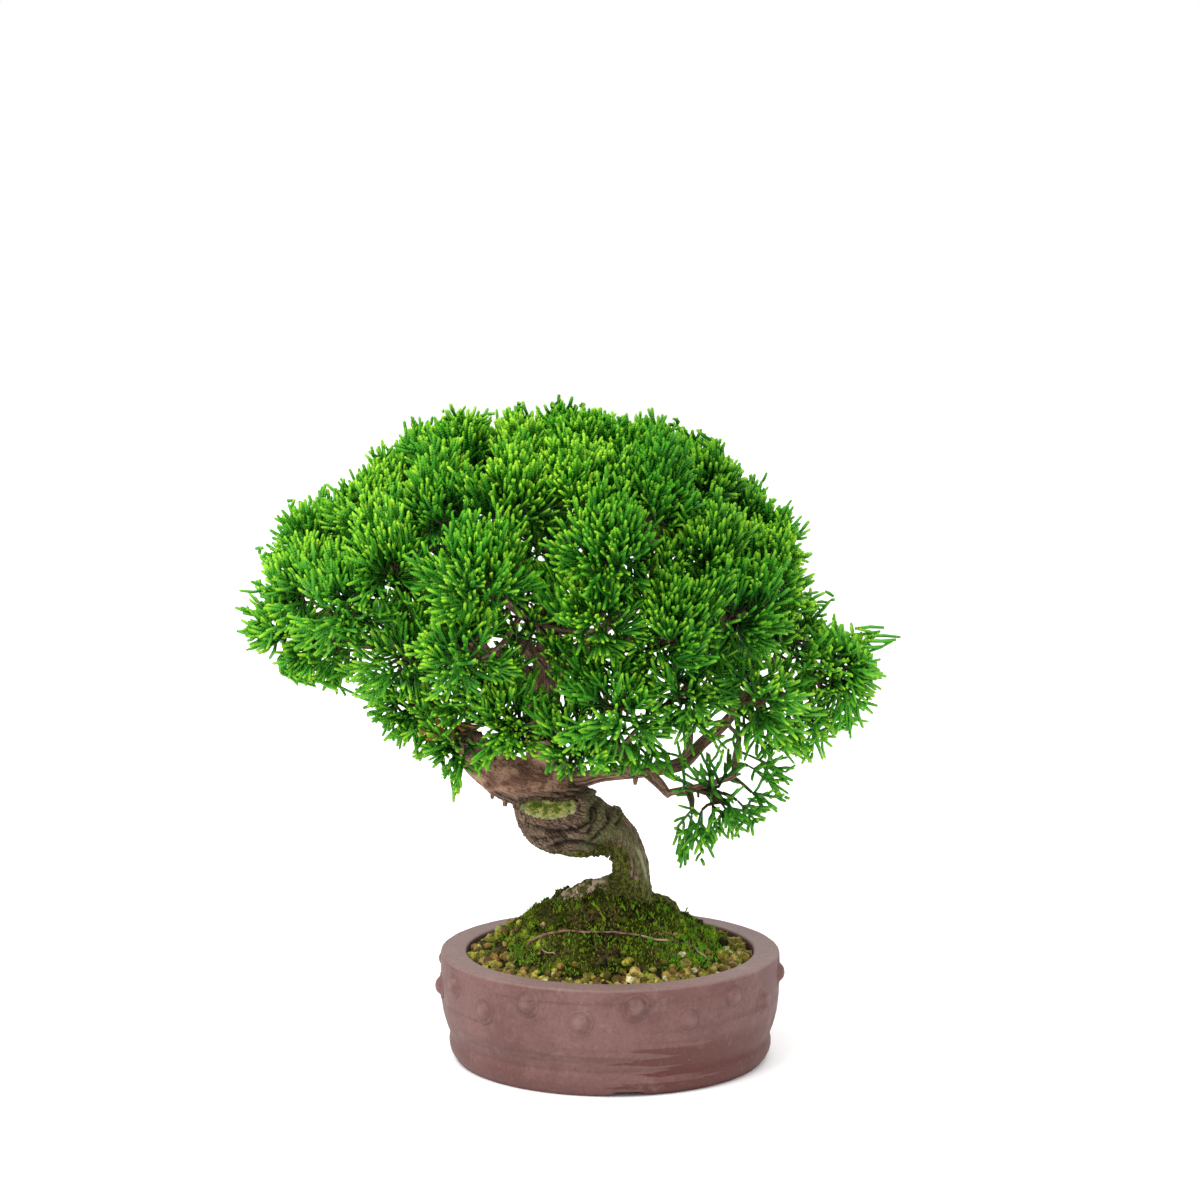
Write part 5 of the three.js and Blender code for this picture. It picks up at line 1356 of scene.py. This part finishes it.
class Bunch:
    """A bunch under way: its place, how airy it is, its own random draws and the cords grown so far."""

    def __init__(self, index):
        self.index = index
        self.rng = np.random.default_rng(900 + index)
        self.size = SIZES[index]
        self.axis = AXES[index]
        self.airy = AIRY.get(index, 0)
        self.hub = MIDDLES[index] - 0.3 * self.size * self.axis
        self.rise = (1.05 if MIDDLES[index][2] > 215 else 0.7) * (1 - 0.7 * self.airy)
        self.widest = math.radians(112 + 12 * self.airy)
        self.grown = []

    def grow(self, routes, profile, stations, fresh, tone=0, woody=0.0, dried=0.0, sides=3):
        """Cords round routes with a thickness profile, and what each point stores: how fresh and how woody
        it is, its shoot's own tone, its depth in the bunch, its distance along the shoot, how dry it is."""
        count = len(routes)
        radii = np.array(profile)[None] * SHOOT_RADIUS * self.rng.uniform(0.86, 1.14, (count, 1))
        points, blocks, station = cords(routes, radii, sides)
        run = np.linalg.norm(routes[:, -1] - routes[:, 0], axis=1)[:, None] * np.array(stations)[station]
        stored = np.stack([
            np.tile(np.array(fresh)[station], count),
            np.repeat(tone + self.rng.uniform(-0.5, 0.5, count), len(station)),
            np.clip(np.linalg.norm(points - self.hub, axis=1) / (1.2 * self.size), 0, 1),
            np.full(count * len(station), woody),
            run.ravel(),
            np.full(count * len(station), dried),
        ])
        self.grown.append(((points, blocks), stored))

    def branchlets(self):
        """Woody branchlets from the twig's end; gives where each forks and the way it heads there."""
        toward = cap_directions(BRANCHLETS, self.widest * 0.8, self.rng.uniform(0, 6.28), self.axis)
        reach = np.minimum(1.1 * self.size, room(self.index, self.hub, toward) + 2.5)
        forks = self.hub + toward * (reach * 0.22)[:, None]
        foot = np.repeat([FEET[self.index] + self.axis * 0.3], BRANCHLETS, 0)
        routes = bent(foot, np.repeat(self.axis[None], BRANCHLETS, 0), forks, toward, WOOD_STATIONS)
        self.grow(routes, (1.2, 1.1, 1.0, 0.0), WOOD_STATIONS, WOOD_FRESH, woody=0.95, sides=4)
        return forks, toward

    def tufts(self, forks, toward):
        """Where each tuft begins, its way out from the hub and where it ends: tufts stand on a dome, leave
        it outward, turn upward, and stop a little past the bunch's own room."""
        rng, size, hub = self.rng, self.size, self.hub
        count = int((0.039 - 0.018 * self.airy) * size ** 2)
        out = cap_directions(count, self.widest, rng.uniform(0, 6.28), self.axis)
        out = unit(out + rng.normal(0, 0.1, out.shape))
        full = 0.99 * size * (1 + 0.24 * lattice(out * 2.6 + self.index * 7.3, 5))
        limit = room(self.index, hub, out) + 6
        keep = limit > 0.5 * size
        out = out[keep]
        reach = np.minimum(full, limit)[keep] * rng.uniform(0.84, 1.12, keep.sum())
        base = hub + out * (reach * rng.uniform(0.22, 0.42, len(out)))[:, None]
        parent = np.argmax(out @ toward.T, axis=1)
        routes = bent(forks[parent], toward[parent], base, out, WOOD_STATIONS)
        self.grow(routes, (1.0, 0.9, 0.85, 0.0), WOOD_STATIONS, WOOD_FRESH, woody=0.75)
        lifted = self.rise * (0.35 + 0.65 * np.clip(out[:, 2:] + 0.7, 0, 1))
        heading = unit(out * (1 - 0.55 * lifted) + UP * lifted + rng.normal(0, 0.24, out.shape))
        length = reach * 0.92 * rng.uniform(0.7, 1.2, len(out))
        return base, out, kept_near(self.index, hub, base + heading * length[:, None])

    def strays(self, forks):
        """The same for the tufts listed beside the bunch: each has a branchlet from the nearest wood."""
        beside, ways = places_beside(STRAYS, self.index)
        if not len(beside):
            return beside, ways, beside
        far = 9 + 3 * self.rng.uniform(0, 1, len(beside))
        sources = np.concatenate([WOOD_SAMPLES[:, :3], forks, [FEET[self.index]]])
        near, _ = nearest(beside - ways * (far * 1.2)[:, None], sources)
        begins = beside - ways * (far * 1.1)[:, None]
        leave = unit(begins - sources[near] + UP * 2)
        routes = bent(sources[near], leave, begins, ways, WOOD_STATIONS)
        self.grow(routes, (1.0, 0.85, 0.8, 0.0), WOOD_STATIONS, WOOD_FRESH, woody=0.85, sides=4)
        return begins, ways, begins + ways * (far * 1.75)[:, None]

    def ring(self, middles, base, ends, inside):
        """Shoots round each tuft's middle shoot: their bearing turns by 2.4 radians from one to the next,
        those farther out leave lower and rise less. Gives their routes and the tuft of each."""
        rng = self.rng
        count = int(round(7 - 3 * self.airy))
        wide = self.size * (0.36 + 0.14 * self.airy)
        heading = unit(ends - base)
        length = np.linalg.norm(ends - base, axis=1)
        owner = np.repeat(np.arange(len(base)), count)
        number = np.tile(np.arange(count), len(base))
        other = np.where(np.abs(heading[:, 2:]) < 0.9, [[0.0, 0, 1]], [[1.0, 0, 0]])
        first = unit(np.cross(heading, other))
        second = np.cross(heading, first)
        bearing = (number * 2.4 + rng.uniform(-0.4, 0.4, len(owner)))[:, None]
        side = first[owner] * np.cos(bearing) + second[owner] * np.sin(bearing)
        apart = np.sqrt((number + 0.7) / count) * rng.uniform(0.8, 1.2, len(owner))
        back = np.clip(0.6 - 0.5 * apart + rng.uniform(-0.12, 0.12, len(owner)), 0.02, 0.7)
        low = np.minimum((back * 3).astype(int), 2)
        part = (back * 3 - low)[:, None]
        starts = middles[owner, low] * (1 - part) + middles[owner, low + 1] * part
        rises = length[owner] * (1.05 - 0.42 * apart ** 2) * rng.uniform(0.55, 1.25, len(owner))
        tips = base[owner] + heading[owner] * rises[:, None] + side * (wide * apart)[:, None]
        own = inside[owner]
        tips[own] = kept_near(self.index, self.hub, tips[own])
        tips = drawn_in(tips, 0, rng)
        leave = unit(heading[owner] * 0.6 + side * 0.8)
        arrive = heading[owner] + side * 0.3 * apart[:, None] + UP * 0.3 * self.rise
        arrive = unit(arrive + rng.normal(0, 0.12, side.shape))
        clear = ~hangs_low(tips)
        routes = bent(starts[clear], leave[clear], tips[clear], arrive[clear], MAIN_STATIONS)
        return routes, owner[clear]

    def dried_shoots(self):
        """Dry shoots that spread from each place listed for the bunch."""
        places, ways = places_beside(DRIED, self.index)
        if len(places):
            starts = np.repeat(places, DRY_FAN, 0)
            leave = unit(np.repeat(ways, DRY_FAN, 0) + self.rng.normal(0, 0.3, starts.shape))
            ends = starts + leave * self.rng.uniform(8, 15, (len(starts), 1))
            self.grow(bent(starts, leave, ends, leave, MAIN_STATIONS), *MAIN, woody=0, dried=1)


def grow_bunch(index):
    """A bunch is a dozen or more tufts. Branchlets run from the twig's end to where each tuft begins. A tuft
    has a middle shoot that turns upward, and round it shoots that leave it at a small angle and rise beside
    it, longest in the middle, each with side shoots."""
    bunch = Bunch(index)
    rng = bunch.rng
    forks, toward = bunch.branchlets()
    tufts = bunch.tufts(forks, toward)
    strays = bunch.strays(forks)
    base, out, ends = (np.concatenate(pair) for pair in zip(tufts, strays))
    inside = np.arange(len(base)) < len(tufts[0])
    ends = drawn_in(ends, -3, rng)
    clear = ~hangs_low(ends)
    base, out, ends, inside = (part[clear] for part in (base, out, ends, inside))
    tone = rng.uniform(-0.6, 0.6, len(out)) + 0.35 * math.sin(index * 2.4)
    middles = bent(base, out, ends, unit(ends - base), MAIN_STATIONS)
    bunch.grow(middles, *MAIN, tone)
    routes, owner = bunch.ring(middles, base, ends, inside)
    bunch.grow(routes, *MAIN, tone[owner])
    # Main shoots, their tones, how many side shoots each has, between which shares, and how long
    mains = [
        (middles, tone, 5, 0.3, 0.84, 9.6),
        (routes, tone[owner], 3, 0.34, 0.82, 9.6 + 1.5 * bunch.airy),
    ]
    tips = np.array(LEADERS.get(index, []), float).reshape(-1, 3)
    if len(tips):
        close, _ = nearest(bunch.hub * 0.45 + tips * 0.55, base)
        toward_tip = unit(tips - base[close])
        leaders = bent(base[close], toward_tip, tips, unit(toward_tip + UP * 0.3), MAIN_STATIONS)
        bunch.grow(leaders, *MAIN, 0.3)
        mains.append((leaders, np.full(len(tips), 0.3), 6, 0.3, 0.95, 5.5))
    bunch.dried_shoots()
    for routes, tones, count, near, far, reach in mains:
        spread = 0.5 + 0.2 * bunch.airy
        owner, starts, leave, ends, arrive = side_shoots(routes, near, far, count, rng, reach, spread)
        clear = ~hangs_low(ends)
        owner, starts, leave, arrive = (part[clear] for part in (owner, starts, leave, arrive))
        routes = bent(starts, leave, drawn_in(ends[clear], 3, rng), arrive, SIDE_STATIONS)
        bunch.grow(routes, SIDE_PROFILE, SIDE_STATIONS, SIDE_FRESH, tones[owner])
    points, blocks = joined([part for part, _ in bunch.grown])
    stored = np.concatenate([values for _, values in bunch.grown], axis=1)
    return points, blocks, dict(zip(STORED, stored))


SHOOT_INNER_SHADE = (0.003, 0.022, 0.001)
SHOOT_OUTER = (0.03, 0.21, 0.01)
SHOOT_WARM = (0.045, 0.27, 0.009)
SHOOT_COOL = (0.01, 0.12, 0.012)
SHOOT_LIT = (0.09, 0.4, 0.035)
SHOOT_SHADED = (0.006, 0.075, 0.004)
TIP_GREEN = (0.07, 0.34, 0.008)
TIP_YELLOW = (0.38, 0.74, 0.03)
TIP_SHADED = (0.05, 0.28, 0.006)
TWIG_BROWN = (0.075, 0.045, 0.025)
DRY_RUST = (0.3, 0.13, 0.035)
leaf = Finish("scale_leaf_shoots")
where = leaf.place()
fresh, tone, depth, woody, run, dried = (leaf.stored(name) for name in STORED)
patch = leaf.noise(where, 26.0, 2.0)
# Painted shade darkens the shoots toward the bunch's inside, and they turn warmer or cooler by shoot and by
# place
base = leaf.blend(leaf.step(depth, 0.25, 0.85), SHOOT_INNER_SHADE, SHOOT_OUTER)
base = leaf.blend(leaf.step(tone, -0.9, 0.9) * 0.5, base, SHOOT_WARM)
base = leaf.blend(leaf.step(patch, 0.4, 0.65) * 0.35, base, SHOOT_COOL)
tip = leaf.blend(leaf.step(tone, -0.8, 1.0), TIP_GREEN, TIP_YELLOW)
# Painted light brightens the crown low down and at both sides, and painted shade darkens a stretch right of
# its middle
across, height = (leaf.node("SeparateXYZ", None, {0: where}, output=axis) for axis in ("X", "Z"))
low = leaf.step(height, 0.235, 0.15)
light_side = leaf.step(across, -0.03, -0.12) + leaf.step(across, 0.1, 0.13)
base = leaf.blend(leaf.step(depth, 0.4, 0.9) * (low * 0.75 + light_side * 0.65), base, SHOOT_LIT)
shady = leaf.step(across, 0.01, 0.06) * leaf.step(across, 0.115, 0.08)
base = leaf.blend(shady * (1.0 - low) * 0.5, base, SHOOT_SHADED)
tip = leaf.blend(shady * (1.0 - low) * 0.45, tip, TIP_SHADED)
# Fresh tips, brown branchlets and dried shoots, and the rows of scales along each shoot
base = leaf.blend(leaf.step(fresh, 0.1, 1.0), base, tip)
base = leaf.blend(woody, base, TWIG_BROWN)
base = leaf.blend(dried, base, DRY_RUST)
scales = leaf.node("Math", {"operation": "SINE"}, {0: run * 4.6})
leaf_material = leaf.surface(
    Base_Color=base, Roughness=leaf.step(fresh, 0.0, 1.0) * 0.1 + 0.45, Specular_IOR_Level=0.14,
    Normal=leaf.bump(scales + leaf.noise(where, 1500.0, 1.0), 0.0002, 0.5),
)
for index in range(len(BUNCHES)):
    points, blocks, stored = grow_bunch(index)
    name = f"shoots_{index + 1:02d}"
    mesh = make_mesh(name, points * MM + AXIS, blocks, stored)
    add_piece(name, mesh, leaf_material, "foliage", f"foliage_{index + 1:02d}")


# Moss: one cushion grown over the mound and up the left and front of the root crown, dark and matted in
# the middle, fresher toward the rim, with fine upright leaves and a few taller ferny sprouts.
LEAF_COUNT = 13000
SPROUT_COUNT = 420


def moss_top(x, y):
    """Height of the moss over the floor: the soil's, the cushion's thickness, thinning to its edge, lumps,
    the banks that it forms at the left and in front of the root crown, and a hollow at either side."""
    angle, reach = np.arctan2(y, x), np.hypot(x, y)
    edge, hole = moss_edge(angle), crown_radius(angle)
    share = np.clip((reach - hole) / (edge - hole), 0, 1)
    cushion = MOSS_THICK * (1 - share ** 5)
    bank = 1.0 * np.exp(-(((x + 25) / 9.5) ** 2 + ((y + 1) / 11) ** 2) ** 1.4)
    bank = bank + 3.4 * np.exp(-(((x + 2) / 16) ** 2 + ((y + 18) / 6.5) ** 2) ** 1.3)
    bank = bank - 2.0 * np.exp(-(((x - 45) / 11) ** 2 + ((y - 4) / 24) ** 2))
    bank = bank - 1.8 * np.exp(-(((x + 44) / 12) ** 2 + ((y - 4) / 24) ** 2))
    place = np.stack([x, y, 0 * x], -1).reshape(-1, 3)
    lumps = 2.5 * layered(place / 6.5, 71, 2) + 1.35 * layered(place / 2.1, 73, 3)
    return ground_height(x, y) + 0.3 + cushion + bank + lumps.reshape(x.shape) * (1 - 0.6 * share ** 4)


def moss_cushion():
    """The cushion as a closed ring: underside, outer edge, top and the wall round the root crown."""
    inner, outer = (lambda a: crown_radius(a, -0.8)), moss_edge
    top = ground_sheet(inner, outer, 74, 300, lambda x, y, _: moss_top(x, y) - ground_height(x, y))
    under = top[[0, -1]].copy()
    under[..., 2] = ground_height(under[..., 0], under[..., 1]) - 0.4
    rings = np.concatenate([under, top[::-1]])
    rows, columns = rings.shape[:2]
    column = np.arange(columns)
    after = (column + 1) % columns
    last = (rows - 1) * columns
    seam = np.stack([last + column, last + after, after, column], 1)
    return rings.reshape(-1, 3), [grid_quads(rows, columns), seam]


def scattered(count, seed, inner, outer):
    """Places spread evenly over a ring of ground between two radii given as functions of the angle."""
    rng = np.random.default_rng(seed)
    angle = rng.uniform(0, 2 * math.pi, count)
    low, high = inner(angle), outer(angle)
    radius = np.sqrt(rng.uniform(0, 1, count) * (high ** 2 - low ** 2) + low ** 2)
    return radius * np.cos(angle), radius * np.sin(angle)


def moss_leaves():
    """Upright leaves: three-sided spikes that start just under the cushion's top and lean at random."""
    rng = np.random.default_rng(76)
    x, y = scattered(LEAF_COUNT, 75, lambda a: crown_radius(a, 0.4), lambda a: moss_edge(a) + 9)
    start = np.stack([x, y, moss_top(x, y) - 0.3], -1)
    past = np.hypot(x, y) - moss_edge(np.arctan2(y, x))
    bare = ground_height(x, y) + 0.6 + 0.25 * np.clip(past, 0, 9)
    start[:, 2] = np.where(past > -1, bare, start[:, 2])
    among = rng.uniform(0, 1, len(x)) < 1.05 - past / 3.5 + 0.9 * layered(start / [6, 6, 20], 81, 2)
    x, y, start = x[among], y[among], start[among]
    count = len(x)
    lean = unit(np.stack([rng.normal(0, 0.55, count), rng.normal(0, 0.55, count), np.ones(count)], -1))
    patch = 0.5 + 0.6 * layered(start / [8, 8, 20], 77, 3) + 0.006 * x
    end = start + lean * (rng.uniform(0.8, 2.0, count) + np.clip(patch, 0, 0.8))[:, None]
    routes = np.stack([start, end], 1)
    radii = np.array([[0.32, 0]]) * rng.uniform(0.7, 1.25, (count, 1))
    points, blocks, station = cords(routes, radii, 3)
    outer = 0.5 * np.clip(past[among] / 14 + 1, 0, 1) * np.clip(np.abs(x) / 14 - 1.4, 0, 1)
    own = np.clip(patch, -0.1, 1) * 0.75 + rng.uniform(-0.7, 0.7, count) + outer
    fresh = np.tile(station, count) * 0.3 + np.repeat(own, len(station))
    return points, blocks, fresh


def moss_sprouts():
    """Taller sprouts, most on the right and round the stem: a bent stalk with leaves on both sides."""
    rng = np.random.default_rng(79)
    x, y = scattered(SPROUT_COUNT, 78, lambda a: crown_radius(a, 2), lambda a: moss_edge(a) + 6)
    liked = rng.uniform(0, 1, len(x)) < np.clip(0.3 + x / 70 + 0.25 * (np.abs(y + 36) < 12), 0.12, 1)
    x, y = x[liked], y[liked]
    start = np.stack([x, y, moss_top(x, y) - 0.4], -1)
    count = len(x)
    lean = unit(np.stack([rng.normal(0, 0.6, count), rng.normal(0, 0.6, count), np.ones(count)], -1))
    end = start + lean * rng.uniform(1.8, 4.0, count)[:, None]
    mains = bent(start, lean, end, unit(lean + rng.normal(0, 0.3, lean.shape)), (0, 0.4, 0.75, 1))
    radii = np.array([[0.3, 0.28, 0.24, 0]]) * np.ones((count, 1))
    stalks = cords(mains, radii, 3)
    _, *begun = side_shoots(mains, 0.2, 0.98, 8, rng, 1.9, 0.9)
    leaves = bent(*begun, (0, 0.55, 1))
    blades = cords(leaves, np.array([[0.16, 0.2, 0]]) * np.ones((len(leaves), 1)), 3)
    points, blocks = joined([stalks[:2], blades[:2]])
    return points, blocks, np.full(len(points), 1.15) + 0.2 * lattice(points / 5, 80)


MOSS_SHADE = (0.003, 0.004, 0.001)
MOSS_GREEN = (0.06, 0.075, 0.006)
MOSS_PATCH = (0.08, 0.1, 0.007)
MATTED_DARK = (0.018, 0.01, 0.004)
MATTED_LIGHT = (0.12, 0.075, 0.03)
LEAF_GREEN = (0.08, 0.13, 0.008)
LEAF_BRIGHT = (0.32, 0.44, 0.02)
SPROUT_GREEN = (0.13, 0.42, 0.02)
moss = Finish("moss")
where = moss.place()
fresh = moss.stored("fresh")
patch = moss.noise(where, 48.0, 4.0)
tuft = moss.noise(where, 420.0, 4.0, 0.7)
brown = moss.step(moss.noise(where, 85.0, 4.0), 0.46, 0.6)
# Painted shade: near black where the tuft noise is low, in the hollows of its bump between the tufts
base = moss.blend(moss.step(tuft, 0.44, 0.62), MOSS_SHADE, MOSS_GREEN)
base = moss.blend(moss.step(patch, 0.42, 0.62) * 0.4, base, MOSS_PATCH)
browned = brown * 0.7
matted = moss.blend(moss.step(tuft, 0.4, 0.62), MATTED_DARK, MATTED_LIGHT)
base = moss.blend(browned, base, matted)
base = moss.blend(moss.step(fresh, 0.3, 0.62) * 0.75, base, LEAF_GREEN)
base = moss.blend(moss.step(fresh, 0.52, 0.95), base, LEAF_BRIGHT)
base = moss.blend(moss.step(fresh, 1.0, 1.25), base, SPROUT_GREEN)
moss_material = moss.surface(
    Base_Color=base, Roughness=moss.step(tuft, 0.2, 0.8) * 0.15 + 0.8, Specular_IOR_Level=0.08,
    Normal=moss.bump(tuft, 0.0022, 0.9),
)
cushion_points, cushion_blocks = moss_cushion()
leaf_points, leaf_blocks, leaf_fresh = moss_leaves()
sprout_points, sprout_blocks, sprout_fresh = moss_sprouts()
moss_points, moss_blocks = joined([
    (cushion_points, cushion_blocks), (leaf_points, leaf_blocks), (sprout_points, sprout_blocks),
])
sides = np.clip(np.abs(cushion_points[:, 0]) / 14 - 1.5, 0, 1)
cushion_fresh = 0.12 + 0.4 * layered(cushion_points / 5, 74, 3) + 0.35 * sides
moss_fresh = np.concatenate([cushion_fresh, leaf_fresh, sprout_fresh])
cushion = make_mesh("moss_cushion", moss_points * MM + AXIS, moss_blocks, {"fresh": moss_fresh})
add_piece("moss_cushion", cushion, moss_material, "moss", "moss")

# Loose strand of root: it lies across the front of the moss, pressed in here and there, with two
# finer rootlets beside it. It is brown and wiry.
STRAND_PLACES = [
    [-41, -30], [-31, -34], [-20, -37], [-8, -38.5], [4, -38.5], [16, -38], [28, -36], [43, -30],
]
ROOTLETS = [
    [[-32, -31], [-34, -38], [-31, -44], [-26, -47]],
    [[20, -37], [27, -30], [37, -29], [48, -33]],
]


def strand_on_moss(places, radius, seed):
    """A strand whose middle line follows the moss with a slight wander and rides half sunk in it."""
    plan, length = spline([[x, y, 0, radius] for x, y in places], 1.6)
    wander = np.stack([length / 7, 0 * length + seed, 0 * length], -1)
    plan[:, 1] += 0.9 * layered(wander, seed, 2)
    plan[:, 2] = moss_top(plan[:, 0], plan[:, 1])
    smoothed = np.convolve(np.pad(plan[:, 2], 3, mode="edge"), np.ones(7) / 7, "valid")
    plan[:, 2] = smoothed + 0.9 + radius * 0.4
    plan[[0, -1], 2] -= 2.2
    plan[:, 3] = radius * (1 + 0.22 * layered(wander * 1.7, seed + 3, 2))
    return sweep(plan, 1.3, 8, 0.12, seed)


strands = [strand_on_moss(STRAND_PLACES, 0.62, 91)]
strands += [strand_on_moss(places, 0.36, 92 + number) for number, places in enumerate(ROOTLETS)]
strand_points, strand_blocks = joined([strand[:2] for strand in strands])
ROOT_DARK = (0.05, 0.024, 0.014)
ROOT_RED = (0.26, 0.13, 0.085)
ROOT_RUBBED = (0.5, 0.34, 0.26)
root_bark = Finish("root_bark")
where = root_bark.place()
streak = root_bark.noise(where, 260.0, 3.0)
base = root_bark.blend(root_bark.step(streak, 0.35, 0.65), ROOT_DARK, ROOT_RED)
rubbed = root_bark.step(root_bark.noise(where, 70.0, 2.0), 0.5, 0.62)
base = root_bark.blend(rubbed * 0.7, base, ROOT_RUBBED)
root_material = root_bark.surface(
    Base_Color=base, Roughness=root_bark.step(streak, 0.2, 0.8) * 0.15 + 0.7, Specular_IOR_Level=0.2,
    Normal=root_bark.bump(streak, 0.0003, 0.6),
)
root = make_mesh("root_strand", strand_points * MM + AXIS, strand_blocks)
add_piece("root_strand", root, root_material, "bark", "surface_root")

# Floor, light and camera: a white studio sweep with soft light from above and the front, and the
# viewing angle of the photograph, a long lens a little above the tree's middle.
CAMERA_PITCH = 6.626
LENS = 84
floor_mesh = bpy.data.meshes.new("floor")
floor_mesh.from_pydata([(-6, -6, 0), (6, -6, 0), (6, 6, 0), (-6, 6, 0)], [], [(0, 1, 2, 3)])
floor = bpy.data.objects.new("floor", floor_mesh)
bpy.context.scene.collection.objects.link(floor)
paper = Finish("white_paper")
# The floor glows faintly to stay white, except under the pot, where the glow fades in from 74 to 82 mm off
# its axis: a painted shadow round the foot
from_pot = paper.node("VectorMath", {"operation": "DISTANCE"}, {0: paper.place(), 1: tuple(AXIS)}, "Value")
floor_mesh.materials.append(paper.surface(
    Base_Color=(0.92, 0.92, 0.92), Roughness=0.9, Emission_Strength=0.18,
    Emission_Color=paper.blend(paper.step(from_pot, 0.074, 0.082), (0, 0, 0), (1.0, 1.0, 1.0)),
))


def soft_light(name, place, target, width, watts):
    """A square area light that faces a point."""
    light = bpy.data.lights.new(name, "AREA")
    light.shape = "SQUARE"
    light.size = width
    light.energy = watts
    thing = bpy.data.objects.new(name, light)
    bpy.context.scene.collection.objects.link(thing)
    thing.location = place
    aim = np.array(target) - np.array(place)
    thing.rotation_euler = (
        math.acos(-aim[2] / np.linalg.norm(aim)), 0, math.atan2(aim[1], aim[0]) - math.pi / 2,
    )


soft_light("key", (-0.7, -0.9, 1.5), (0, 0, 0.2), 0.9, 17)
soft_light("back", (0.3, 1.1, 1.2), (0, 0, 0.2), 1.0, 7)
sky = bpy.data.lights.new("overhead", "SUN")
sky.angle = math.radians(50)
sky.energy = 0.9
overhead = bpy.data.objects.new("overhead", sky)
bpy.context.scene.collection.objects.link(overhead)
overhead.rotation_euler = (math.radians(20), math.radians(-18), 0)
world = bpy.data.worlds.new("studio")
bpy.context.scene.world = world
world.use_nodes = True
world.node_tree.nodes["Background"].inputs["Color"].default_value = (1, 1, 1, 1)
world.node_tree.nodes["Background"].inputs["Strength"].default_value = 1.0
bpy.context.scene.view_settings.view_transform = "Standard"
camera_data = bpy.data.cameras.new("camera")
camera_data.lens = LENS
camera_data.sensor_width = 36
camera_data.clip_end = 20
camera = bpy.data.objects.new("camera", camera_data)
bpy.context.scene.collection.objects.link(camera)
camera.location = np.array(CAMERA_PLACE) * MM + AXIS
camera.rotation_euler = (math.radians(90 - CAMERA_PITCH), 0, 0)
bpy.context.scene.camera = camera
